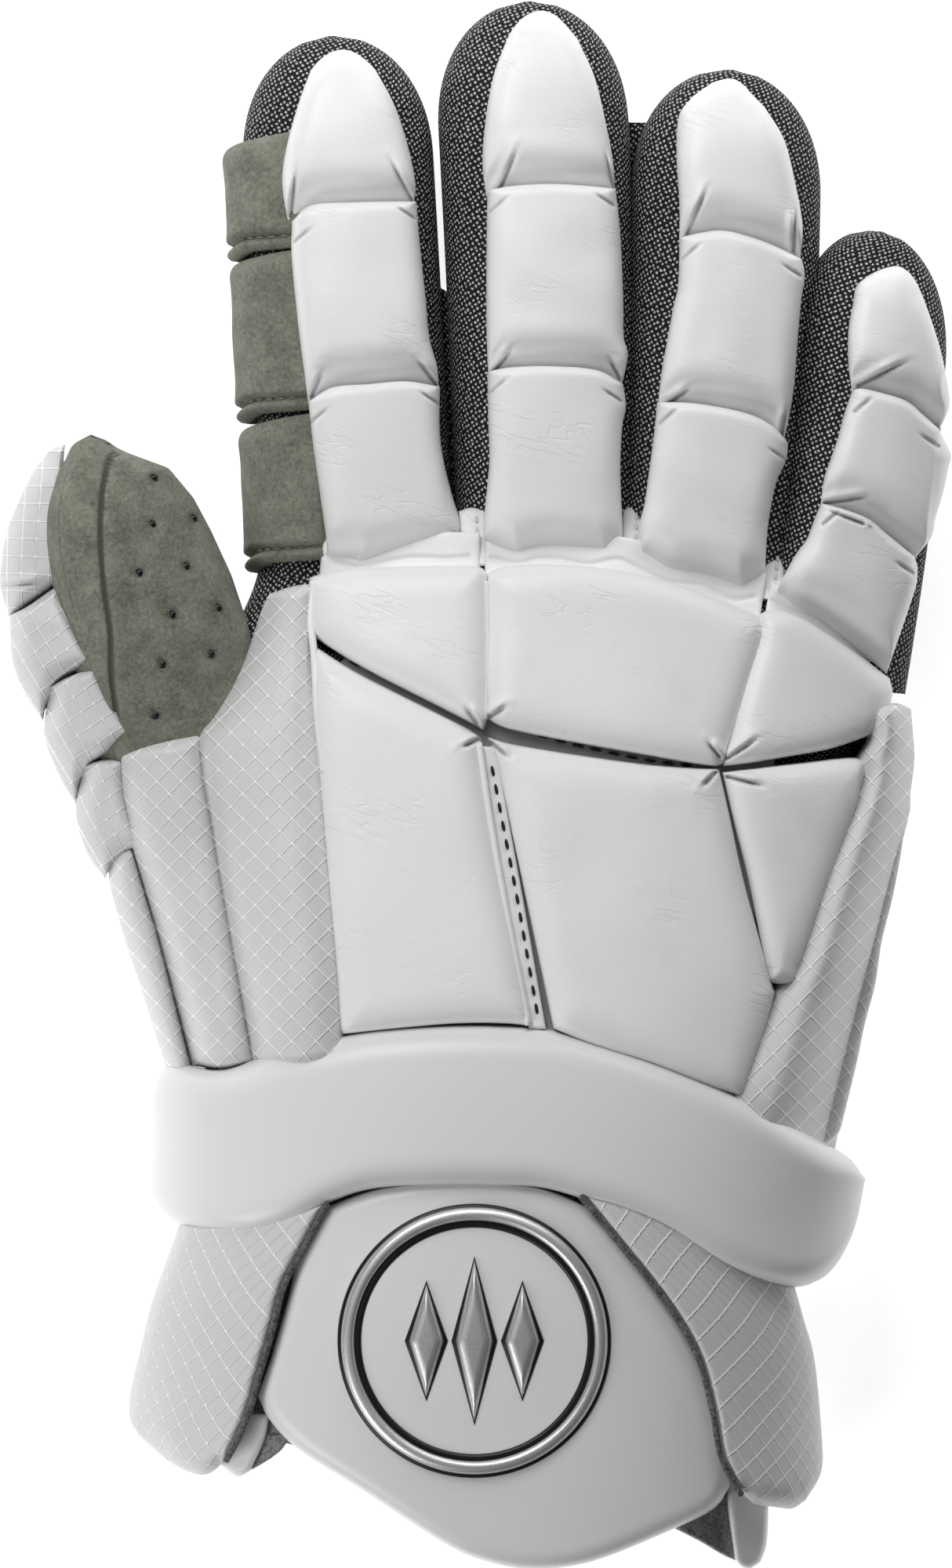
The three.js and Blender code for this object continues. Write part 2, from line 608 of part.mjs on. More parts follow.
// Thumb: a suede face on the palm's side, and a gusset that carries the pads
const THUMB_SEAM = -0.12; // height of the seam in the thumb's frame, as a share of THUMB_HEIGHT
const thumbShell = cut(thumbSolid, thumbHollow, handSeat, fingerSeats[0]);
const onThumb = (solid) => solid.transform(thumb.frame.toArray());
const thumbSeam = THUMB_SEAM * THUMB_HEIGHT;
const thumbFace = largest(cut(thumbShell, onThumb(above(thumbSeam - GAP / 2))));
const thumbGusset = largest(cut(thumbShell, onThumb(below(thumbSeam + GAP / 2))));

// Everything that is sewn on the outside, from the band out to the fingers
const seats = [handSeat, ...fingerSeats, thumbSeat];
const band = largest(cut(wristBand(), handSeat));
const bandGrown = union([0, 1, 2, 3].map((times) => wristBand(times * GAP)));

// Pieces that lie beside one another are cut one by the next.
const sewn = (table, others, make) => {
  const done = [];
  Object.entries(table).forEach(([name, row]) => {
    const cutters = [...seats, bandGrown, ...others, ...done.map((piece) => piece.grown)];
    done.push({ name, solid: largest(cut(make(row, 0), ...cutters)), grown: make(row, GAP) });
  });
  return done;
};
const backPads = sewn(BACK_PADS, [], (corners, grow) =>
  drapedPad(corners, BACK_PAD_THICKNESS, BACK_PAD_CORNER, grow + BACK_PAD_SPREAD));
const backGrown = backPads.map((pad) => pad.grown);
const fingerPads = fingers.flatMap((finger, f) => finger.creases.map((_, i) => ({
  name: `${finger.name}_pad_${finger.creases.length - i}`,
  solid: largest(cut(fingerPad(finger, i), ...seats, ...backGrown)),
  grown: fingerPad(finger, i, GAP),
})));
const flanges = sewn(FLANGES, [...backGrown, ...fingerPads.map((pad) => pad.grown)],
  (corners, grow) => drapedPad(corners, FLANGE_THICKNESS, 0, grow));

const sidePanels = sewn(SIDE_PANELS, backGrown, (rows, grow) =>
  sidePanel(rows, SIDE_PANEL_THICKNESS, grow));
const panelGrown = sidePanels.map((panel) => panel.grown);

const plate = largest(cut(drapedPad(CUFF_PLATE, PLATE_THICKNESS, 0), handSeat, bandGrown));
const plateGrown = drapedPad(CUFF_PLATE, PLATE_THICKNESS, 0, GAP);
const wings = sewn(WINGS, [plateGrown], (rows, grow) => sidePanel(rows, WING_THICKNESS, grow));

const sidePatches = SIDE_PATCHES.map(({ from, to }, i) => ({
  name: `index_side_patch_${SIDE_PATCHES.length - i}`,
  solid: largest(cut(
    wrappedPad(fingers[0], {
      from, to, fromAngle: 148, toAngle: 212, thickness: SIDE_PATCH_THICKNESS,
      slopes: [0, 0], feather: 1,
    }),
    ...seats, ...backGrown, ...panelGrown, ...fingerPads.slice(0, 3).map((pad) => pad.grown),
  )),
}));

const thumbPads = THUMB_PADS.map(({ from, to, slope, edge }, i) => ({
  name: `thumb_pad_${THUMB_PADS.length - i}`,
  solid: largest(cut(
    wrappedPad(thumb, {
      from, to, fromAngle: edge, toAngle: 186, thickness: THUMB_PAD_THICKNESS,
      slopes: [slope, i + 1 < THUMB_PADS.length ? THUMB_PADS[i + 1].slope : 0],
      feather: THUMB_PAD_FEATHER,
    }),
    ...seats, ...panelGrown,
  )),
}));

// Badge: a raised ring and three upright lozenges, which follow the plate's own curve
const BADGE_Y = handY(BADGE_ALONG);
const disc = (radius, sides) =>
  steps(sides - 1, 0, 1 - 1 / sides).map((turn) => [
    radius * Math.cos(2 * Math.PI * turn), BADGE_Y + radius * Math.sin(2 * Math.PI * turn),
  ]);
const raised = (flat, height) => flat
  .intersect(plateGrown.translate([0, 0, height]))
  .subtract(plateGrown);
const column = (corners) => prism(corners, 0, FAR);
const badgeRing = largest(raised(
  cut(column(disc(BADGE_RADIUS, 20)), column(disc(BADGE_RADIUS - BADGE_BAR, 20))), BADGE_HEIGHT,
));
const badgeMarks = BADGE_MARKS.map(({ across, half, reach }) => {
  const x = across * BADGE_RADIUS;
  const corners = [[x - half * BADGE_RADIUS, BADGE_Y], [x, BADGE_Y - reach * BADGE_RADIUS],
    [x + half * BADGE_RADIUS, BADGE_Y], [x, BADGE_Y + reach * BADGE_RADIUS]];
  return largest(raised(column(corners), BADGE_HEIGHT));
});

// Assembly
const glove = new THREE.Group();
glove.name = "lacrosse_glove";
function section(name, pieces) {
  const group = new THREE.Group();
  group.name = name;
  pieces.forEach(({ name: label, solid, material }) => {
    const mesh = new THREE.Mesh(toGeometry(solid), material);
    mesh.name = label;
    group.add(mesh);
  });
  glove.add(group);
}
const inMaterial = (pieces, material) => pieces.map((piece) => ({ ...piece, material }));

section("liner", [
  { name: "palm", solid: palm, material: suede },
  { name: "hand_liner", solid: handLiner, material: knitMesh },
  { name: "cuff_liner", solid: cuffLiner, material: smoothLeather },
  ...sleeves.map((solid, i) => ({ name: `${fingers[i].name}_sleeve`, solid, material: knitMesh })),
  ...undersides.map((solid, i) => ({
    name: `${fingers[i].name}_underside`, solid, material: suede,
  })),
]);
section("thumb", [
  { name: "thumb_face", solid: thumbFace, material: suede },
  { name: "thumb_gusset", solid: thumbGusset, material: suede },
  ...inMaterial(thumbPads, embossedLeather),
]);
section("fingers", [
  ...inMaterial(fingerPads, smoothLeather),
  ...inMaterial(sidePatches, suede),
  ...inMaterial(flanges, smoothLeather),
]);
section("back", [
  ...inMaterial(backPads, smoothLeather),
  ...inMaterial(sidePanels, embossedLeather),
]);
section("cuff", [
  { name: "wrist_band", solid: band, material: mouldedRubber },
  { name: "cuff_plate", solid: plate, material: mouldedRubber },
  ...inMaterial(wings, embossedLeather),
  { name: "badge_ring", solid: badgeRing, material: satinMetal },
  ...badgeMarks.map((solid, i) => ({ name: `badge_mark_${i + 1}`, solid, material: satinMetal })),
]);

export default glove;
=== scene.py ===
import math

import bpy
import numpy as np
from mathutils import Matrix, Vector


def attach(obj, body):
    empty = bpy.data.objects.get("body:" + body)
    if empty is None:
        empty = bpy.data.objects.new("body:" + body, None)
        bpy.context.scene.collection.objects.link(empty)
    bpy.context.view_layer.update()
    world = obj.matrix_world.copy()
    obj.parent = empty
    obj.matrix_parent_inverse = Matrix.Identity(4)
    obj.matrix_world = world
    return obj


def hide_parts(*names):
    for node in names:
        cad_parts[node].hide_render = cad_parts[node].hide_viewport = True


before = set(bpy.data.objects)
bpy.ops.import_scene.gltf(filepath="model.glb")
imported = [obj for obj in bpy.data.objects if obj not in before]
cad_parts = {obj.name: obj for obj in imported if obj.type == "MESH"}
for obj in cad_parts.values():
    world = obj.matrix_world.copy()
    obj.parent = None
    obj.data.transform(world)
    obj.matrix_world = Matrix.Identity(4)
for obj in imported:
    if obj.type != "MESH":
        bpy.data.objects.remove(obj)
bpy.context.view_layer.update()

# %% [markdown]
# A lacrosse glove is a thin knitted and suede hand with thick foam blocks sewn on its back. Each
# block is a bag of soft leather: its top is almost flat, its sides roll over a few millimetres
# and its seam is hidden in a fold. This script lays such skins on one set of surfaces: the hand,
# four fingers and a thumb, whose sizes are repeated here from the part's own source.

MM = 0.001  # every length below is in millimetres, and meshes are made in metres


def linear(code):
    """An sRGB hex colour as the linear values that a shader takes."""
    shares = [int(code[i:i + 2], 16) / 255 for i in (1, 3, 5)]
    return [s / 12.92 if s <= 0.04045 else ((s + 0.055) / 1.055) ** 2.4 for s in shares] + [1]


# %% [markdown]
# The surfaces. A table is read between its rows with a smooth curve, and a cross-section is a
# superellipse, which is flatter on top than a circle, as a hand is.

# %% Curves and sections
def follow(places, values, at):
    """A smooth value between the rows of a table."""
    t, v = np.array(places), np.array(values)
    at = np.clip(at, t[0], t[-1])
    count = len(t)
    i = np.clip(np.searchsorted(t, at, side="right"), 1, count - 1)
    start, end = i < 2, i > count - 2
    before = np.where(start, i, i - 2)
    after = np.where(end, i - 1, np.minimum(i + 1, count - 1))
    half = (t[i] - t[i - 1]) / 2
    w0 = half / np.abs(t[i - 1] - t[before])
    w1 = half / np.abs(t[after] - t[i])
    p = (at - t[i - 1]) / (t[i] - t[i - 1])
    q, r = p * p, p * p * p
    return (v[before] * (-w0 * r + 2 * w0 * q - w0 * p)
            + v[i - 1] * ((1 + w0) * r + (-1.5 - 2 * w0) * q + (-0.5 + w0) * p + 1)
            + v[i] * ((-1 - w1) * r + (1.5 + w1) * q + 0.5 * p)
            + v[after] * (w1 * r - w1 * q))


def squircle(angle, roundness):
    """The two coordinates of a superellipse of half-size 1, at an angle in degrees."""
    c, s = np.cos(np.radians(angle)), np.sin(np.radians(angle))
    return (np.sign(c) * np.abs(c) ** (2 / roundness), np.sign(s) * np.abs(s) ** (2 / roundness))


def smooth(x):
    """Eases a share in at 0 and out at 1."""
    x = np.clip(x, 0, 1)
    return x * x * (3 - 2 * x)


def mix(a, b, share):
    """The value a share of the way from a to b."""
    return a + (b - a) * share


def run_along(points):
    """Length from the start of a line, or of each row of a grid, to each of its points."""
    steps = np.linalg.norm(np.diff(points, axis=-2), axis=-1)
    return np.concatenate([np.zeros((*steps.shape[:-1], 1)), np.cumsum(steps, axis=-1)], axis=-1)


def line_length(points):
    """Length of a line of points."""
    return np.linalg.norm(np.diff(points, axis=0), axis=1).sum()


# %% [markdown]
# The hand is a tube that widens from the wrist to the knuckles, and its sole is flatter than its
# back. It could be sculpted, but a table of widths and heights along it keeps every pad on the
# same surface as the part's own solids. On the real glove the line of the knuckles and the end of
# the cuff both fall away towards the little finger, so points are also shifted along the hand.

# %% The hand
HAND_LENGTH, HAND_WIDTH, HAND_HEIGHT = 199, 148, 58
KNUCKLE_Y, KNUCKLE_DROP, CUFF_SLANT = 46, 23, 0.16
SHOULDER, SOLE_PRESS = 0.36, 1.5
HAND_ROUNDNESS, SOLE_ROUNDNESS = 2.6, 4
KNUCKLE_REACH = 0.23  # share of the length in which the slant of the knuckles fades out
DROP_START, DROP_SPAN, DROP_POWER = 0.07, 0.66, 2.6  # how it grows over the hand's width
CUFF_START, CUFF_REACH = 0.7, 0.3  # where the slant of the cuff begins, and in what length
WALL = 2  # cloth and lining
SEAM_HEIGHT = 9  # of the seam between the knit and the suede, over the table
HAND = {
    "along": (-0.02, 0.17, 0.316, 0.432, 0.56, 0.7, 0.82, 1),
    "middle": (0.135, 0.071, 0.045, 0.05, 0.04, 0.015, 0, 0),
    "half": (0.446, 0.49, 0.495, 0.458, 0.43, 0.412, 0.432, 0.445),
    "height": (0.55, 0.64, 0.72, 0.8, 0.88, 0.94, 0.98, 1),
}


def hand_along(y):
    """Share of the hand's length, from the knuckles to the end of the cuff."""
    return (KNUCKLE_Y - y) / HAND_LENGTH


def hand_y(along):
    """The y of a share of the hand's length."""
    return KNUCKLE_Y - along * HAND_LENGTH


def hand_section(y):
    """Middle, half width and height of the hand at a place along it."""
    at = hand_along(y)
    return (HAND_WIDTH * follow(HAND["along"], HAND["middle"], at),
            HAND_WIDTH * follow(HAND["along"], HAND["half"], at),
            HAND_HEIGHT * follow(HAND["along"], HAND["height"], at))


def plan_shift(x, y):
    """How far the slanted knuckle line and cuff end move a point along the hand."""
    knuckle = np.clip(1 - hand_along(y) / KNUCKLE_REACH, 0, 1)
    cuff = np.clip((hand_along(y) - CUFF_START) / CUFF_REACH, 0, 1.2)
    across = np.clip((x / HAND_WIDTH + DROP_START) / DROP_SPAN, 0, 1.1)
    fall = KNUCKLE_DROP * across ** DROP_POWER
    return -fall * knuckle - CUFF_SLANT * x * cuff


def hand_point(y, angle, lift, floor=0.0):
    """A point round the hand, lifted off its surface; nothing goes below the floor."""
    middle, half, height = hand_section(y)
    shoulder = SHOULDER * height
    upper = np.sin(np.radians(angle)) >= 0
    top, sole = squircle(angle, HAND_ROUNDNESS), squircle(angle, SOLE_ROUNDNESS)
    x = middle + (half + lift) * np.where(upper, top[0], sole[0])
    tall = np.where(upper, height - shoulder + lift, shoulder + SOLE_PRESS + lift)
    z = shoulder + tall * np.where(upper, top[1], sole[1])
    return np.stack([x, y + plan_shift(x, y), np.maximum(z, floor)], -1)


def back_height(x, y, lift):
    """Height of the back of the hand above a point of the plan."""
    station = y
    for _ in range(5):
        station = y - plan_shift(x, station)
    middle, half, height = hand_section(station)
    shoulder = SHOULDER * height
    across = np.clip(np.abs(x - middle) / (half + lift), 0, 0.995)
    return shoulder + (height - shoulder + lift) * (1 - across ** HAND_ROUNDNESS) ** (
        1 / HAND_ROUNDNESS)


# %% [markdown]
# A finger is a tube with a rounded end, arched a little as a relaxed finger is. Each has its own
# frame, leaned sideways and rolled towards the little finger, as the fingers of a glove spread.
# All four are shares of the largest one, so a change of size keeps them in proportion.

# %% The fingers and the thumb
DIGIT_ROUNDNESS = 2.3
TIP_POWER, TIP_STUB = 2.2, 0.25  # how round a tip is, and the share of its height at its end
FINGER_LENGTH, FINGER_WIDTH, FINGER_HEIGHT = 130, 39, 27
FINGER_ROOT, FINGER_TIP, FINGER_ARCH = 36, 27, 4


def digit(x, y, z, lean, roll, length, width, height, tip, arch):
    """A digit: its frame turned by lean and roll, and its sizes."""
    a, b = math.radians(-lean), math.radians(roll)
    turn = np.array([[math.cos(a), -math.sin(a), 0], [math.sin(a), math.cos(a), 0], [0, 0, 1]])
    turn = turn @ np.array([[math.cos(b), 0, math.sin(b)], [0, 1, 0],
                            [-math.sin(b), 0, math.cos(b)]])
    return {"root": np.array([x, y, z]), "turn": turn, "roll": roll, "length": length,
            "width": width, "height": height, "tip": tip, "arch": arch, "dip": (1.0, 0.0)}


def finger(across, root, length, width, height, lean, roll):
    """A finger whose sizes are shares of the largest one's."""
    return digit(across * HAND_WIDTH, FINGER_ROOT + root * FINGER_LENGTH,
                 height * FINGER_HEIGHT / 2, lean, roll, length * FINGER_LENGTH,
                 width * FINGER_WIDTH, height * FINGER_HEIGHT, FINGER_TIP, FINGER_ARCH)


FINGERS = {
    "index": finger(-0.164, 0, 0.941, 1, 0.95, -3.2, 1),
    "middle": finger(0.111, 0, 0.997, 1, 1, -2.6, 7),
    "ring": finger(0.33, -0.038, 0.923, 1, 0.97, 2.2, 12),
    "little": finger(0.505, -0.12, 0.744, 0.82, 0.9, 6, 24),
}
THUMB = digit(-0.366 * HAND_WIDTH, hand_y(0.322), 28, lean=-15, roll=-150, length=96, width=41,
              height=25, tip=30, arch=0)
THUMB["dip"] = (56.0, 14.0)  # its root bends down, under the panels, over this length and depth


def digit_section(d, along, lift):
    """Half width, half height and rise of the middle of a digit's section."""
    over = np.clip((along - (d["length"] + lift - d["tip"])) / d["tip"], 0, 1)
    fall = np.sqrt(1 - over ** TIP_POWER)
    rise = d["arch"] * np.sin(math.pi * np.clip(along / d["length"], 0, 1))
    tall = (d["height"] / 2 + lift) * (TIP_STUB + (1 - TIP_STUB) * fall)
    return (d["width"] / 2 + lift) * fall, tall, rise


def digit_point(d, along, angle, lift, floor=0.0):
    """A point round a digit, lifted off its surface; nothing goes below the floor."""
    half, tall, rise = digit_section(d, along, lift)
    across, up = squircle(angle, DIGIT_ROUNDNESS)
    local = np.stack(np.broadcast_arrays(half * across, along, rise + tall * up), -1)
    point = d["root"] + local @ d["turn"].T
    dip_length, dip_depth = d["dip"]
    point[..., 2] -= dip_depth * smooth(1 - along / dip_length)
    point[..., 2] = np.maximum(point[..., 2], floor)
    return point


def above_digit(d, x, y, height_of):
    """Height, at a point of the plan, of a surface given in the digit's own frame."""
    turn, root = d["turn"], d["root"]
    z = x * 0.0 + root[2] + d["height"] / 2
    for _ in range(8):
        local = (np.stack([x, y, z], -1) - root) @ turn
        across, along = local[..., 0], local[..., 1]
        up = height_of(across, along)
        z = root[2] + turn[2, 0] * across + turn[2, 1] * along + turn[2, 2] * up
    return z


# %% [markdown]
# The mesh helpers. Most pieces here are a padded skin: a fine grid on the outside that falls to
# a seam at its border, tucks in under its own roll, and is closed below by a coarse copy of the
# grid on the surface that it is sewn to. The fall is the same superellipse that a foam block
# covered with leather takes, so its radius is a real one in millimetres.

# %% Meshes from points
def mesh_object(name, points, faces, material, flat, marks=None):
    """A mesh object from points in millimetres and lists of equal-length faces.

    flat is the place of each point in the flat map, and marks are named values of each point.
    """
    points = np.asarray(points, float)
    corners = np.concatenate([np.asarray(face).ravel() for face in faces])
    counts = np.concatenate([np.full(len(face), len(face[0])) for face in faces])
    mesh = bpy.data.meshes.new(name)
    mesh.vertices.add(len(points))
    mesh.vertices.foreach_set("co", (points * MM).ravel())
    mesh.loops.add(len(corners))
    mesh.loops.foreach_set("vertex_index", corners.astype(np.int32))
    mesh.polygons.add(len(counts))
    mesh.polygons.foreach_set("loop_start", (np.cumsum(counts) - counts).astype(np.int32))
    mesh.polygons.foreach_set("use_smooth", np.ones(len(counts), bool))
    layer = mesh.uv_layers.new(name="flat")
    layer.uv.foreach_set("vector", np.asarray(flat, float)[corners].ravel())
    for label, values in (marks or {}).items():
        data = mesh.attributes.new(label, "FLOAT", "POINT")
        data.data.foreach_set("value", np.asarray(values, float))
    mesh.update(calc_edges=True)
    if mesh.validate():
        print("mesh repaired", name)
    if signed_volume(mesh) < 0:
        mesh.flip_normals()
    mesh.materials.append(material)
    piece = bpy.data.objects.new(name, mesh)
    bpy.context.scene.collection.objects.link(piece)
    return piece


def signed_volume(mesh):
    """Six times the volume; it is negative where the faces look inwards."""
    mesh.calc_loop_triangles()
    count = len(mesh.loop_triangles)
    index = np.empty(count * 3, np.int32)
    mesh.loop_triangles.foreach_get("vertices", index)
    place = np.empty(len(mesh.vertices) * 3, np.float32)
    mesh.vertices.foreach_get("co", place)
    a, b, c = (place.reshape(-1, 3)[index.reshape(-1, 3)[:, k]].astype(float) for k in range(3))
    return float((a * np.cross(b, c)).sum())


def quads(rows, columns, start=0, closed=False):
    """Faces of a grid of points, row after row."""
    r, c = np.meshgrid(np.arange(rows - 1), np.arange(columns if closed else columns - 1),
                       indexing="ij")
    right = (c + 1) % columns
    face = np.stack([r * columns + c, r * columns + right, (r + 1) * columns + right,
                     (r + 1) * columns + c], -1)
    return face.reshape(-1, 4) + start


def declare(piece, replaces=()):
    """Rides the piece with the glove and hides the parts of the model that it replaces."""
    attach(piece, "root")
    if replaces:
        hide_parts(*replaces)
    return piece


# %% [markdown]
# Stuffing is never quite even, and a skin is pinched where it is folded. Both follow from three
# tools: the distance from a point to a line, a sum of five soft waves, and a smooth curve drawn
# through a few points. The waves have a seed, so each run gives the same glove.

# %% Distances and noise
def reach(points, line):
    """For each point: distance to a polyline, side of it, and share along it."""
    line = np.asarray(line, float)
    a, b = line[:-1], line[1:]
    step = b - a
    long = np.maximum((step ** 2).sum(-1), 1e-9)
    lengths = np.sqrt(long)
    before = np.concatenate([[0], np.cumsum(lengths)])[:-1]
    best = np.full(len(points), 1e9)
    side = np.zeros(len(points))
    share = np.zeros(len(points))
    for k in range(len(a)):
        off = points - a[k]
        t = np.clip(off @ step[k] / long[k], 0, 1)
        gap = off - t[:, None] * step[k]
        far = np.sqrt((gap ** 2).sum(-1))
        near = far < best
        best = np.where(near, far, best)
        if line.shape[1] == 2:
            cross = step[k, 0] * off[:, 1] - step[k, 1] * off[:, 0]
            side = np.where(near, np.sign(cross), side)
        share = np.where(near, (before[k] + t * lengths[k]) / lengths.sum(), share)
    return best, side, share


def ripple(x, y, length, seed):
    """Gentle unevenness of a stuffed skin, from -1 to 1, with the given wavelength."""
    random = np.random.default_rng(seed)
    total = 0
    for _ in range(5):
        way, phase = random.uniform(0, 2 * math.pi, 2)
        size = length * random.uniform(0.7, 1.5)
        total = total + np.sin(2 * math.pi * (x * math.cos(way) + y * math.sin(way)) / size + phase)
    return total / 4


def curve_through(points, count=60):
    """A smooth line through points, as evenly spaced points."""
    points = np.asarray(points, float)
    if len(points) == 2:
        return points[0] + np.linspace(0, 1, count)[:, None] * (points[1] - points[0])
    first, last = 2 * points[0] - points[1], 2 * points[-1] - points[-2]
    p = np.vstack([first, points, last])
    t = np.linspace(0, 1, 17)[:-1, None]
    parts = []
    for i in range(1, len(p) - 2):
        a, b, c, d = p[i - 1], p[i], p[i + 1], p[i + 2]
        parts.append(0.5 * (2 * b + (c - a) * t + (2 * a - 5 * b + 4 * c - d) * t ** 2
                            + (3 * b - a - 3 * c + d) * t ** 3))
    dense = np.vstack(parts + [points[-1:]])
    run = run_along(dense)
    at = np.linspace(0, run[-1], count)
    return np.stack([np.interp(at, run, dense[:, k]) for k in range(points.shape[1])], -1)


# %% [markdown]
# A real pad is foam in a bag of leather, sewn down round its border. A cloth simulation could
# blow it up, but its rolls would wander from run to run. Here its height is a function of the
# distance to each of the four borders, so a roll is as wide as one measured in the photograph.

# %% A padded skin
SEATED = -0.02  # share of the thickness by which the closed underside sinks into its seat
SKIRT = ((0.35, 0.55), (0.75, 0.2), (1.0, SEATED))  # rings under the border: inset and height


def graded(count, crowd=0.45):
    """Shares from 0 to 1 that crowd together at both ends, where a skin bends most."""
    s = np.linspace(0, 1, count)
    return s - crowd * np.sin(2 * math.pi * s) / (2 * math.pi)


def roll_over(distance, radius, power):
    """Height of a rolled edge, as a share, at a distance from its border."""
    share = np.clip(distance / radius, 0, 1)
    return (1 - (1 - share) ** power) ** (1 / power)


def padded_skin(name, place, thickness, material, size, step, radii, girth, tuck, uneven, seed,
                blend=4.0, power=2.3, folds=(), shape=None, flat_by_arc=False, turn=0):
    """A stuffed piece on a surface.

    place(u, v, h) gives points for shares across, along and out of the surface, and size is the
    piece's width and length. radii and girth are for the left, right, top and bottom border: how
    far the skin rolls, and how high its widest line stands, as a share of the thickness. folds
    are lines in the plan, shape changes the height, and uneven is a depth and a wavelength. The
    flat map is the plan turned by an angle, or measured along the skin with flat_by_arc.
    """
    columns, rows = max(14, int(size[0] / step)), max(14, int(size[1] / step))
    u, v = np.meshgrid(graded(columns), graded(rows))
    middle = place(u, v, np.full_like(u, 0.5))
    points = middle.reshape(-1, 3)
    borders = [middle[:, 0], middle[:, -1], middle[0], middle[-1]]
    away = [reach(points, border[::3])[0].reshape(u.shape) for border in borders]
    for k, line in enumerate([(slice(None), 0), (slice(None), -1), (0,), (-1,)]):
        away[k][line] = 0
    falls = [roll_over(away[k], radii[k], power) for k in range(4)]
    rise = 1 - np.minimum(sum((1 - f) ** blend for f in falls), 1) ** (1 / blend)
    weights = [1 / (a + 0.3) ** 3 for a in away]
    waist = sum(w * g for w, g in zip(weights, girth)) / sum(weights)
    height = waist + (1 - waist) * rise
    if shape is not None:
        height = shape(u, v, middle, away, height)
    x, y = middle[..., 0], middle[..., 1]
    height = height + uneven[0] / thickness * ripple(x, y, uneven[1], seed) * rise
    # Each fold's groove also goes into a mark of painted shade, which darkens the colour along it.
    recess_shade = np.zeros(u.shape)
    plan = points[:, :2]
    for start, end, depth, width, puff in folds:
        line = curve_through([start, end], 9)
        far, side, share = (part.reshape(u.shape) for part in reach(plan, line))
        strength = smooth(share / 0.45) * 0.85 + 0.15
        groove = np.exp(-(far / width) ** 2) * strength
        swell = np.exp(-((far - 2.2 * width) / (2.2 * width)) ** 2) * strength
        puffed = np.where(side * np.sign(puff) > 0, 1, 0) * np.sign(puff)
        height = height - depth / thickness * groove
        height = height + puff / thickness * swell * puffed
        recess_shade = np.maximum(recess_shade, groove)
    top = place(u, v, height)

    ring = np.concatenate([np.arange(columns), np.arange(1, rows) * columns + columns - 1,
                           (rows - 1) * columns + np.arange(columns - 2, -1, -1),
                           np.arange(rows - 2, 0, -1) * columns])
    ru, rv, rh = (part.ravel()[ring] for part in (u, v, height))
    span = (np.linalg.norm(middle[rows // 2, -1] - middle[rows // 2, 0]),
            np.linalg.norm(middle[-1, columns // 2] - middle[0, columns // 2]))
    skirts = []
    for share, depth in SKIRT:
        inset_u, inset_v = tuck * share / span[0], tuck * share / span[1]
        skirts.append(place(np.clip(ru, inset_u, 1 - inset_u), np.clip(rv, inset_v, 1 - inset_v),
                            rh * depth if depth > 0 else np.full_like(rh, depth)))
    inner_rows = np.unique(np.linspace(0, rows - 1, max(4, rows // 7)).astype(int))
    inner_columns = np.unique(np.linspace(0, columns - 1, max(4, columns // 7)).astype(int))
    count = rows * columns
    loop = len(ring)
    base = count + 2 * loop
    where = {int(index): base + k for k, index in enumerate(ring)}
    lower = []
    for r in inner_rows[1:-1]:
        for c in inner_columns[1:-1]:
            where[int(r * columns + c)] = count + 3 * loop + len(lower)
            lower.append((r, c))
    lr, lc = np.array(lower).T
    under = place(u[lr, lc], v[lr, lc], np.full(len(lr), SEATED))
    points = np.vstack([top.reshape(-1, 3), *skirts, under])
    by_length = {4: [quads(rows, columns)]}
    for k in range(3):
        a = ring if k == 0 else count + (k - 1) * loop + np.arange(loop)
        b = count + k * loop + np.arange(loop)
        by_length[4].append(np.stack([np.roll(a, -1), a, b, np.roll(b, -1)], -1))
    polygons = {}
    for i in range(len(inner_rows) - 1):
        for j in range(len(inner_columns) - 1):
            r0, r1 = inner_rows[i], inner_rows[i + 1]
            c0, c1 = inner_columns[j], inner_columns[j + 1]
            path = [(r0, c) for c in (range(c0, c1) if r0 == 0 else (c0,))]
            path += [(r, c1) for r in (range(r0, r1) if c1 == columns - 1 else (r0,))]
            path += [(r1, c) for c in (range(c1, c0, -1) if r1 == rows - 1 else (c1,))]
            path += [(r, c0) for r in (range(r1, r0, -1) if c0 == 0 else (r1,))]
            face = [where[int(r * columns + c)] for r, c in path][::-1]
            polygons.setdefault(len(face), []).append(face)
    faces = [np.vstack(by_length[4])] + [np.array(faces) for faces in polygons.values()]
    if flat_by_arc:
        run_u = run_along(top)
        run_u -= run_u[:, -1:] / 2
        run_v = run_along(top[:, columns // 2])
        flat = np.stack([run_u, np.broadcast_to(run_v[:, None], u.shape)], -1).reshape(-1, 2)
    else:
        c, t = math.cos(math.radians(turn)), math.sin(math.radians(turn))
        flat = plan @ np.array([[c, t], [-t, c]])
    sheet = flat.reshape(rows, columns, 2)
    outward = np.zeros_like(sheet)
    outward[0] += sheet[0] - sheet[1]
    outward[-1] += sheet[-1] - sheet[-2]
    outward[:, 0] += sheet[:, 0] - sheet[:, 1]
    outward[:, -1] += sheet[:, -1] - sheet[:, -2]
    outward = outward.reshape(-1, 2)[ring]
    outward /= np.linalg.norm(outward, axis=1)[:, None] + 1e-9
    rim = top.reshape(-1, 3)[ring]
    walls = [flat[ring] + outward * np.linalg.norm(skirt - rim, axis=1)[:, None]
             for skirt in skirts]  # the pattern goes on down the sides
    flat = np.vstack([flat, *walls, sheet[lr, lc]])
    marks = np.concatenate([recess_shade.ravel(), np.zeros(len(points) - count)])
    piece = mesh_object(name, points, faces, material, flat, {"recess_shade": marks})
    print(name, len(points), "points")
    return piece


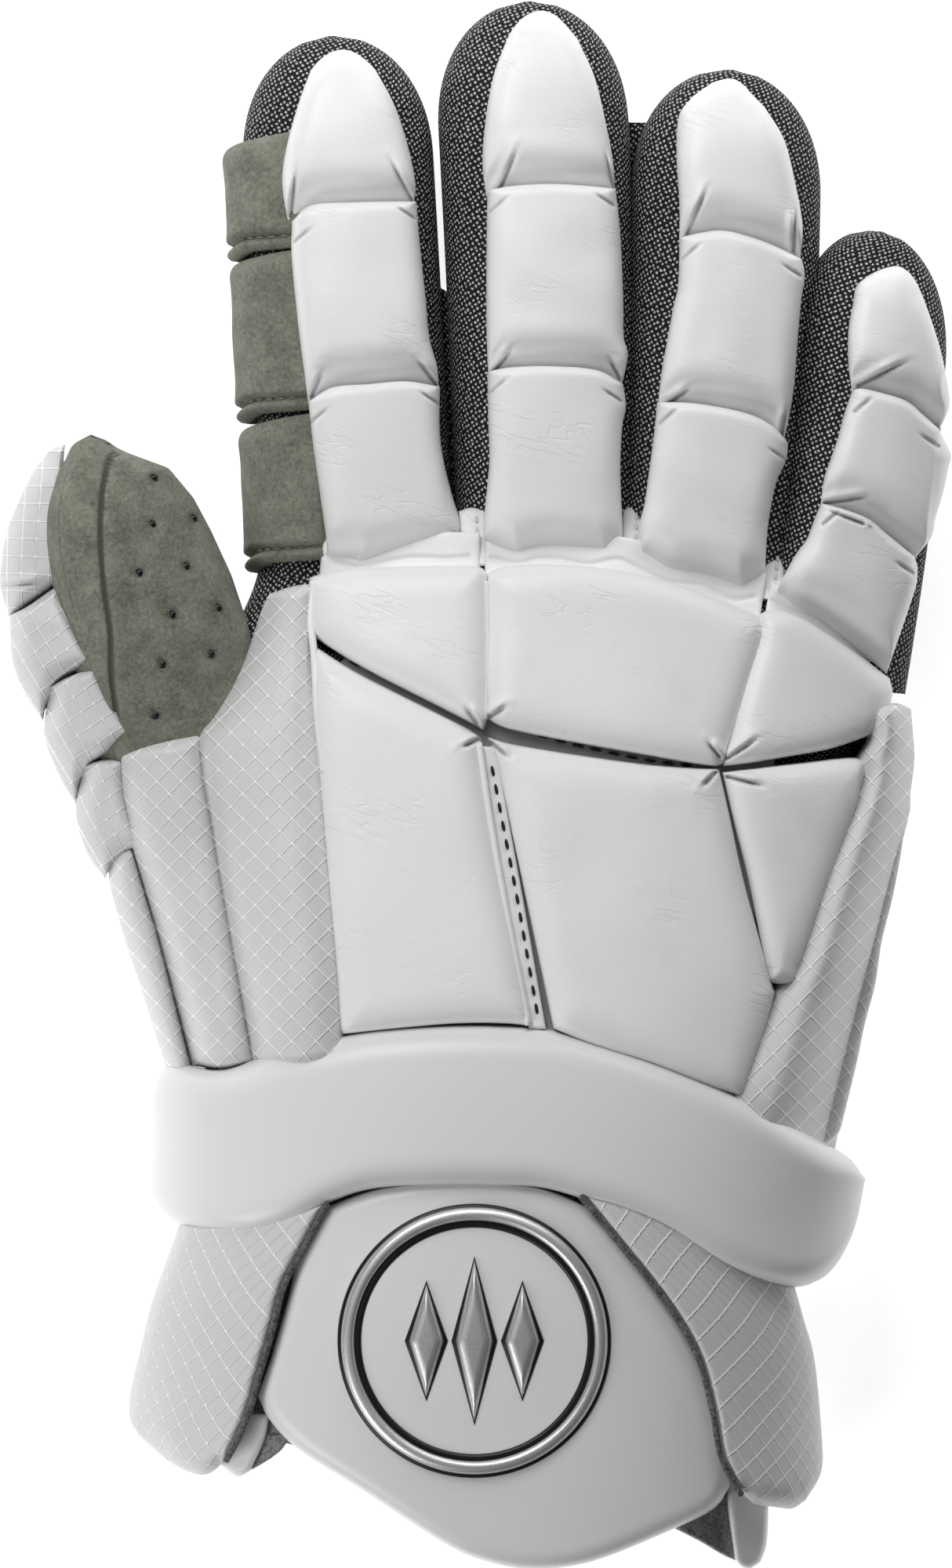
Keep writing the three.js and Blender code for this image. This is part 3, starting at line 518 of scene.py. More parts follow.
def plan_patch(edges, seat, crown, spread=0.0):
    """A place function over an outline of four edges in the plan, between two height functions.

    spread is how far the stuffing pushes the border out over the seam.
    """
    lines = {side: curve_through(edges[side]) for side in ("top", "bottom", "left", "right")}
    shares = np.linspace(0, 1, 60)

    def on(side, at):
        return np.stack([np.interp(at, shares, lines[side][:, k]) for k in range(2)], -1)

    def place(u, v, h):
        u, v = np.asarray(u, float), np.asarray(v, float)
        a, b = u[..., None], v[..., None]
        ends = {(s, t): lines["top" if t == 0 else "bottom"][0 if s == 0 else -1]
                for s in (0, 1) for t in (0, 1)}
        flat = ((1 - b) * on("top", u) + b * on("bottom", u) + (1 - a) * on("left", v)
                + a * on("right", v) - (1 - a) * (1 - b) * ends[0, 0] - a * (1 - b) * ends[1, 0]
                - (1 - a) * b * ends[0, 1] - a * b * ends[1, 1])
        if spread:
            across, down = on("right", v) - on("left", v), on("bottom", u) - on("top", u)
            across /= np.linalg.norm(across, axis=-1)[..., None]
            down /= np.linalg.norm(down, axis=-1)[..., None]
            flat = flat + spread * (across * (2 * a - 1) + down * (2 * b - 1))
        x, y = flat[..., 0], flat[..., 1]
        low, high = seat(x, y, u, v), crown(x, y, u, v)
        return np.stack([x, y, low + (high - low) * h], -1)

    size = [max(line_length(lines[side]) for side in pair)
            for pair in (("top", "bottom"), ("left", "right"))]
    return place, size


# %% [markdown]
# The finishes. Each is named for what the real one is. One function adds a node with its settings
# and links, and a finish is a short chain of such nodes. The meshes carry a flat map in
# millimetres, so a pattern's scale is one over its real spacing.

# %% Making a finish
def add(tree, kind, values=(), **settings):
    """Adds a node: values are its inputs by name or number, each a number, a colour or a socket."""
    made = tree.nodes.new("ShaderNode" + kind)
    for name, value in settings.items():
        setattr(made, name, value)
    for name, value in dict(values).items():
        if isinstance(value, bpy.types.NodeSocket):
            tree.links.new(value, made.inputs[name])
        else:
            made.inputs[name].default_value = value
    return made


def finish(name, color, roughness, **sockets):
    """A material of one Principled shader; its own tree is returned for more nodes."""
    material = bpy.data.materials.new(name)
    material.use_nodes = True
    tree = material.node_tree
    shader = tree.nodes["Principled BSDF"]
    shader.inputs["Base Color"].default_value = linear(color)
    shader.inputs["Roughness"].default_value = roughness
    for label, value in sockets.items():
        shader.inputs[label.replace("_", " ")].default_value = value
    material.diffuse_color = linear(color)
    return material, tree, shader


def flat_map(tree, per_mm, turn=0.0):
    """The flat map, in repeats of a pattern, turned by an angle in degrees."""
    source = add(tree, "UVMap", uv_map="flat")
    return add(tree, "Mapping", {"Vector": source.outputs["UV"],
                                 "Rotation": (0, 0, math.radians(turn)),
                                 "Scale": (per_mm, per_mm, per_mm)}).outputs["Vector"]


def body_map(tree, per_mm):
    """Places on the object itself, in repeats of a pattern."""
    source = add(tree, "TexCoord")
    scale = per_mm / MM
    return add(tree, "Mapping", {"Vector": source.outputs["Object"],
                                 "Scale": (scale, scale, scale)}).outputs["Vector"]


def relief(tree, shader, steps):
    """Joins heights in millimetres into one bump."""
    normal = None
    for height, depth in steps:
        values = {"Height": height, "Distance": depth * MM, "Strength": 1.0}
        if normal is not None:
            values["Normal"] = normal
        normal = add(tree, "Bump", values).outputs["Normal"]
    tree.links.new(normal, shader.inputs["Normal"])


def tint(tree, shader, share, dark, light, low=0.0, high=1.0):
    """Colours a surface between two hex colours by a share."""
    ranged = add(tree, "MapRange", {"Value": share, "From Min": low, "From Max": high},
                 clamp=True).outputs["Result"]
    mixed = add(tree, "Mix", {"Factor": ranged, 6: linear(dark), 7: linear(light)},
                data_type="RGBA")
    tree.links.new(mixed.outputs[2], shader.inputs["Base Color"])
    return mixed.outputs[2]


# %% [markdown]
# Polyurethane-coated leather, calendered smooth: it has a soft sheen, a very fine grain that
# breaks the highlight, and hairline wrinkles where the foam below is pressed.

# %% Smooth coated leather
def coated_leather(name, light, dark, roughness):
    """Grain under a millimetre, soft bends, and hairlines in patches 17 mm apart."""
    material, tree, shader = finish(name, light, roughness, IOR=1.48)
    grain = add(tree, "TexNoise", {"Vector": body_map(tree, 1 / 0.9), "Scale": 1.0, "Detail": 4.0,
                                   "Roughness": 0.6})
    cloud = add(tree, "TexNoise", {"Vector": body_map(tree, 1 / 30), "Scale": 1.0, "Detail": 3.0})
    bend = add(tree, "TexNoise", {"Vector": body_map(tree, 1 / 9), "Scale": 1.0, "Detail": 2.0,
                                  "Distortion": 1.2})
    # Painted shade: the mark laid along folds darkens the leather's random clouds of tone.
    recess_shade = add(tree, "Attribute", attribute_name="recess_shade")
    tone_with_recess_shade = add(tree, "Math", {0: cloud.outputs["Fac"], 1: recess_shade.outputs["Fac"]},
               operation="SUBTRACT")
    tint(tree, shader, tone_with_recess_shade.outputs[0], dark, light, -0.5, 0.4)
    long_map = add(tree, "Mapping", {"Vector": flat_map(tree, 1.0, 20),
                                     "Scale": (1 / 12, 1 / 2.8, 1)})
    lines = add(tree, "TexNoise", {"Vector": long_map.outputs[0], "Scale": 1.0, "Detail": 2.0,
                                   "Distortion": 0.5})
    from_middle = add(tree, "Math", {0: lines.outputs["Fac"], 1: 0.5}, operation="SUBTRACT")
    distance = add(tree, "Math", {0: from_middle.outputs[0]}, operation="ABSOLUTE")
    hairline = add(tree, "MapRange", {"Value": distance.outputs[0], "From Min": 0.0,
                                      "From Max": 0.03, "To Min": 0.0, "To Max": 1.0},
                   interpolation_type="SMOOTHSTEP")
    place = add(tree, "TexNoise", {"Vector": body_map(tree, 1 / 17), "Scale": 1.0, "Detail": 1.0})
    where = add(tree, "MapRange", {"Value": place.outputs["Fac"], "From Min": 0.54,
                                   "From Max": 0.68})
    wrinkle = add(tree, "Mix", {"Factor": where.outputs["Result"], 2: 1.0,
                                3: hairline.outputs["Result"]})
    relief(tree, shader, [(grain.outputs["Fac"], 0.04), (bend.outputs["Fac"], 0.1),
                          (wrinkle.outputs[0], 0.07)])
    return material


SMOOTH_LEATHER = coated_leather("pu_coated_leather_smooth", "#F0F0F0", "#BEBEBE", 0.42)

# %% [markdown]
# The same leather embossed by a hot roller with a net of diamonds: fine raised lines that catch
# the light, 5 mm from corner to corner of a cell, and a duller cell between them. The lines are
# also coloured lighter than the cells, as a painted highlight.

# %% Net-embossed coated leather
NET_CELL = 3.7  # mm between parallel lines


def net_leather(name):
    """Two sets of parallel lines that cross, joined softly where they meet."""
    material, tree, shader = finish(name, "#E8E8E8", 0.46, IOR=1.48)
    cells = add(tree, "SeparateXYZ", {"Vector": flat_map(tree, 1 / NET_CELL, 45)})
    near = [add(tree, "Math", {0: cells.outputs[k], 1: 0.5}, operation="PINGPONG").outputs[0]
            for k in (0, 1)]
    nearest = add(tree, "Math", {0: near[0], 1: near[1], 2: 0.12}, operation="SMOOTH_MIN")
    line = add(tree, "MapRange", {"Value": nearest.outputs[0], "From Min": 0.02, "From Max": 0.075,
                                  "To Min": 1.0, "To Max": 0.0}, interpolation_type="SMOOTHSTEP")
    grain = add(tree, "TexNoise", {"Vector": body_map(tree, 1 / 0.9), "Scale": 1.0, "Detail": 4.0})
    bend = add(tree, "TexNoise", {"Vector": body_map(tree, 1 / 11), "Scale": 1.0, "Detail": 2.0})
    # Painted highlight: the raised lines are coloured lighter than the cells between them.
    tint(tree, shader, line.outputs["Result"], "#D8D8D8", "#F8F8F8")
    relief(tree, shader, [(grain.outputs["Fac"], 0.03), (bend.outputs["Fac"], 0.15),
                          (line.outputs["Result"], 0.2)])
    return material


NET_LEATHER = net_leather("pu_coated_leather_net_embossed")

# %% [markdown]
# Open warp-knitted mesh: pale and black yarn whose knots stand in rows about a millimetre apart,
# with a dark hole between them. The knots are lighter because they stand proud and catch light:
# their pale colour is partly the yarn's own and partly a painted highlight.

# %% Knitted mesh
KNOT = 1.05  # mm from knot to knot


def knitted_mesh(name, light, dark):
    """Cells of a slightly shaken grid: light at each knot, dark between, with frayed yarn."""
    material, tree, shader = finish(name, light, 0.85, IOR=1.45)
    wander = add(tree, "TexNoise", {"Vector": flat_map(tree, 1 / 1.6), "Scale": 1.0, "Detail": 2.0})
    shift = add(tree, "VectorMath", {0: wander.outputs["Color"], 1: (0.55, 0.55, 0)},
                operation="MULTIPLY")
    places = add(tree, "VectorMath", {0: flat_map(tree, 1 / KNOT, 28), 1: shift.outputs[0]})
    knots = add(tree, "TexVoronoi", {"Vector": places.outputs[0], "Scale": 1.0, "Randomness": 0.3},
                voronoi_dimensions="2D", feature="F1")
    fray = add(tree, "TexNoise", {"Vector": flat_map(tree, 1 / 0.4), "Scale": 1.0, "Detail": 3.0})
    height = add(tree, "MapRange", {"Value": knots.outputs["Distance"], "From Min": 0.08,
                                    "From Max": 0.58, "To Min": 1.0, "To Max": 0.0},
                 interpolation_type="SMOOTHSTEP")
    rough = add(tree, "Math", {0: height.outputs["Result"], 1: fray.outputs["Fac"]},
                operation="MULTIPLY")
    # Pale knots over black yarn, made lighter still by a painted highlight where they stand proud.
    tint(tree, shader, rough.outputs[0], dark, light, 0.2, 0.55)
    relief(tree, shader, [(fray.outputs["Fac"], 0.12), (height.outputs["Result"], 0.5)])
    return material


KNIT_MESH = knitted_mesh("warp_knitted_mesh", "#E2E2E4", "#0A0A0B")

# %% [markdown]
# Napped microfibre suede: fibres lie in short brushed patches, so its grey-green wanders between
# lighter and darker at a millimetre or two, with no shine.

# %% Napped suede
def napped_suede(name, light, dark):
    """A fine nap over patches 6 mm wide, with painted shade where it is creased."""
    material, tree, shader = finish(name, light, 0.95, IOR=1.4, Specular_IOR_Level=0.2,
                                    Sheen_Weight=0.15, Sheen_Roughness=0.6)
    nap = add(tree, "TexNoise", {"Vector": body_map(tree, 1 / 0.9), "Scale": 1.0, "Detail": 5.0,
                                 "Roughness": 0.7, "Distortion": 0.6})
    patch = add(tree, "TexNoise", {"Vector": body_map(tree, 1 / 6), "Scale": 1.0, "Detail": 3.0})
    # Painted shade: the mark laid along creases darkens the nap.
    recess_shade = add(tree, "Attribute", attribute_name="recess_shade")
    both = add(tree, "Mix", {"Factor": 0.35, 2: nap.outputs["Fac"], 3: patch.outputs["Fac"]})
    tone_with_recess_shade = add(tree, "Math", {0: both.outputs[0], 1: recess_shade.outputs["Fac"]}, operation="SUBTRACT")
    tint(tree, shader, tone_with_recess_shade.outputs[0], dark, light, 0.33, 0.68)
    relief(tree, shader, [(nap.outputs["Fac"], 0.25), (patch.outputs["Fac"], 0.4)])
    return material


SUEDE = napped_suede("napped_microfibre_suede", "#9A9A8C", "#57574E")

# %% [markdown]
# Moulded thermoplastic rubber: its tool is finely blasted, so it is satin, even, and a little
# softer in its highlights than the leather. The print on it is the same rubber in black, and the
# bonded polyester threads are duller, with a coarser grain for their twist. The badge is plated
# over plastic, so it is a metal with a fine tooth, and the lining is brushed tricot.

# %% Moulded rubber, thread, plating and lining
def moulded_rubber(name, color, roughness, grain_depth=0.02):
    """A plain moulded or twisted material: one colour, faint clouds and a fine grain."""
    material, tree, shader = finish(name, color, roughness, IOR=1.5)
    grain = add(tree, "TexNoise", {"Vector": body_map(tree, 1 / 0.5), "Scale": 1.0, "Detail": 3.0})
    cloud = add(tree, "TexNoise", {"Vector": body_map(tree, 1 / 40), "Scale": 1.0, "Detail": 2.0})
    shade = add(tree, "Math", {0: cloud.outputs["Fac"], 1: 0.3}, operation="MULTIPLY")
    base = linear(color)
    dull = [value * 0.93 for value in base[:3]] + [1]
    mixed = add(tree, "Mix", {"Factor": shade.outputs[0], 6: base, 7: dull}, data_type="RGBA")
    tree.links.new(mixed.outputs[2], shader.inputs["Base Color"])
    relief(tree, shader, [(grain.outputs["Fac"], grain_depth)])
    return material


RUBBER = moulded_rubber("tpr_moulded_satin_white", "#EBEBEB", 0.36)
# The print's black, which also fills the thumb's vent holes as painted shade.
BLACK_PRINT_AND_HOLE_SHADE = moulded_rubber("tpr_black_print_and_hole_shade", "#111112", 0.4)
WHITE_THREAD = moulded_rubber("polyester_thread_white", "#DCDCDC", 0.7, 0.06)
BLACK_THREAD = moulded_rubber("polyester_thread_black", "#151516", 0.75, 0.06)
FOLD_TAPE = moulded_rubber("woven_edge_tape_grey", "#8F8F8F", 0.85, 0.08)


def satin_plating(name):
    """Satin plating over a moulded badge: metal with a fine, even tooth."""
    material, tree, shader = finish(name, "#E4E4E6", 0.4, Metallic=0.9)
    tooth = add(tree, "TexNoise", {"Vector": body_map(tree, 1 / 0.4), "Scale": 1.0, "Detail": 3.0})
    rough = add(tree, "MapRange", {"Value": tooth.outputs["Fac"], "To Min": 0.36, "To Max": 0.52})
    tree.links.new(rough.outputs["Result"], shader.inputs["Roughness"])
    relief(tree, shader, [(tooth.outputs["Fac"], 0.03)])
    return material


SATIN_METAL = satin_plating("satin_plated_badge")


def brushed_lining(name, light, dark):
    """Brushed tricot lining: pale, matt, with a soft pile and a faint quilted wave."""
    material, tree, shader = finish(name, light, 0.95, IOR=1.4, Sheen_Weight=0.2)
    pile = add(tree, "TexNoise", {"Vector": body_map(tree, 1 / 0.6), "Scale": 1.0, "Detail": 4.0})
    puffs = add(tree, "TexVoronoi", {"Vector": body_map(tree, 1 / 3.2), "Scale": 1.0,
                                     "Randomness": 0.5}, feature="SMOOTH_F1")
    tint(tree, shader, pile.outputs["Fac"], dark, light, 0.3, 0.7)
    relief(tree, shader, [(pile.outputs["Fac"], 0.15), (puffs.outputs["Distance"], 1.2)])
    return material


LINING = brushed_lining("brushed_tricot_lining", "#9C9C9C", "#5E5E5E")
BINDING = brushed_lining("knitted_binding_grey", "#7C7C7C", "#2C2C2D")
print("finishes", len(bpy.data.materials))

# %% [markdown]
# The knitted finger stalls and their suede undersides. A stall is a tube that is open at its
# root; its cloth is parted where it comes down to the height of the palm's seam, and the suede
# goes on from there. Both are thin closed sheets, from an outer and an inner grid.

# %% Thin sheets
CLEAR = 0.02  # keeps the last row of points off the very end of a digit


def sheet_mesh(name, outer, inner, material, recess_shade=None):
    """A closed thin piece from an outer and an inner grid of the same size."""
    rows, columns = outer.shape[:2]
    count = rows * columns
    index = np.arange(count).reshape(rows, columns)
    edge = np.concatenate([index[0, :-1], index[:-1, -1], index[-1, :0:-1], index[:0:-1, 0]])
    rim = np.stack([np.roll(edge, -1), edge, edge + count, np.roll(edge, -1) + count], -1)
    faces = np.vstack([quads(rows, columns), quads(rows, columns, count)[:, ::-1], rim])
    run_u = run_along(outer)
    run_u -= run_u[:, columns // 2][:, None]
    run_v = run_along(outer[:, columns // 2])
    flat = np.stack([run_u, np.broadcast_to(run_v[:, None], run_u.shape)], -1).reshape(-1, 2)
    # The outer grid may carry a mark of painted shade.
    marks = np.zeros(2 * count)
    if recess_shade is not None:
        marks[:count] = recess_shade.ravel()
    piece = mesh_object(name, np.vstack([outer.reshape(-1, 3), inner.reshape(-1, 3)]), [faces],
                        material, np.vstack([flat, flat]), {"recess_shade": marks})
    print(name, 2 * count, "points")
    return piece


def crossing(height, angles, level, centre, way):
    """The first angle from centre, going one way, at which the height falls below a level."""
    order = np.argsort(np.abs(angles - centre))
    for k in order:
        if (angles[k] - centre) * way >= 0 and height[k] < level:
            return angles[k]
    return centre + way * 180.0


def stations(d, rows, lift=0.0):
    """Places along a digit for rows of points, closer together round its tip."""
    body, quarter = d["length"] - d["tip"], np.linspace(0, math.pi / 2, rows // 2)
    alongs = np.concatenate([np.linspace(0, body, rows // 2, endpoint=False),
                             d["length"] - d["tip"] * np.cos(quarter) ** 1.4])
    alongs[-1] = d["length"] + lift - CLEAR
    return alongs


def digit_sheet(name, d, upper, material, lift=0.0, rows=76, columns=72):
    """The part of a digit's tube above or below the palm's seam."""
    top = 90 + d["roll"]
    level = SEAM_HEIGHT + (0.2 if upper else -0.1)
    grids = ([], [])
    for along in stations(d, rows, lift):
        angles = np.linspace(top - 180, top + 180, 721)
        heights = digit_point(d, np.full(721, along), angles, lift, -9.0)[:, 2]
        right = crossing(heights, angles, level, top, -1)
        left = crossing(heights, angles, level, top, 1)
        if upper:
            spread = np.linspace(right, left, columns)
        else:
            if right < top - 178:
                break
            spread = np.linspace(left, right + 360, columns)
        for grid, depth in zip(grids, (0, WALL)):
            inner_along = min(along, d["length"] + lift - WALL - CLEAR) if depth else along
            grid.append(digit_point(d, np.full(columns, inner_along), spread, lift - depth, depth))
    outer, inner = (np.array(grid) for grid in grids)
    if upper:  # the knit bags a little over the hand
        over = smooth((outer[..., 2] - SEAM_HEIGHT) / 6)
        outer[..., 2] += 0.35 * ripple(outer[..., 0], outer[..., 1], 11, 5) * over
    return sheet_mesh(name, outer, inner, material)


for name, d in FINGERS.items():
    declare(digit_sheet(name + "_stall", d, True, KNIT_MESH, lift=0.8),
            [name + "_sleeve"])
    declare(digit_sheet(name + "_suede", d, False, SUEDE), [name + "_underside"])

# %% [markdown]
# The hand. The same two sheets go round the hand: knit above the seam as far as the wrist, the
# lining of the cuff behind it, and the suede palm below.

# %% Hand, cuff lining and palm
def seam_angle(y):
    """Angle below the horizontal at which the hand's section is as low as the seam."""
    shoulder = SHOULDER * hand_section(y)[2]
    share = np.clip((shoulder - SEAM_HEIGHT) / (shoulder + SOLE_PRESS), 0, 1)
    return np.degrees(np.arcsin(share ** (SOLE_ROUNDNESS / 2)))


def hand_sheet(name, start, end, upper, material, rows=70, columns=110, ends=None):
    """The part of the hand's tube above or below the palm's seam, between two places."""
    y = hand_y(np.linspace(start, end, rows))[:, None]
    low = seam_angle(y)
    share = np.linspace(0, 1, columns)[None, :]
    if upper:
        angle = mix(-low + 0.6, 180 + low - 0.6, share)
    else:
        angle = mix(180 + low + 0.6, 360 - low - 0.6, share)
    y = np.broadcast_to(y, angle.shape)
    if ends:
        last = follow(ends["angle"], ends["along"], angle)
        y = hand_y(mix(start, last, np.linspace(0, 1, rows)[:, None]))
    outer = hand_point(y, angle, 0.0)
    inner = hand_point(y, angle, -WALL, WALL)
    return sheet_mesh(name, outer, inner, material)


CUFF_SEAM, PALM_END = 0.61, 142 / HAND_LENGTH
declare(hand_sheet("hand_knit", -0.02, CUFF_SEAM, True, KNIT_MESH), ["hand_liner"])
CUFF_END = {  # end of the cuff's lining, along the hand, at angles round it
    "angle": (-40, 0, 20, 40, 60, 90, 120, 140, 160, 180, 220),
    "along": (0.93, 0.935, 0.95, 0.97, 0.975, 0.985, 0.965, 0.95, 0.94, 0.93, 0.93),
}
declare(hand_sheet("cuff_lining", CUFF_SEAM + 0.001, 1.0, True, LINING, ends=CUFF_END),
        ["cuff_liner"])
declare(hand_sheet("palm_suede", -0.02, PALM_END, False, SUEDE), ["palm"])

# %% [markdown]
# The pads on the fingers and the back. An outline has four edges, in millimetres in the plan: the
# one nearer the fingertips, the one nearer the wrist, and two sides. Folds run from inside the
# pad to its border, where the leather is tucked like wrapping paper.

# %% Outlines of the pads
def outline(top, right, bottom, left, **more):
    """Four edges. Both sides run from the top to the bottom edge, whose ends are their own."""
    return {"top": top, "right": [top[-1], *right, bottom[-1]], "bottom": bottom,
            "left": [top[0], *left, bottom[0]], **more}


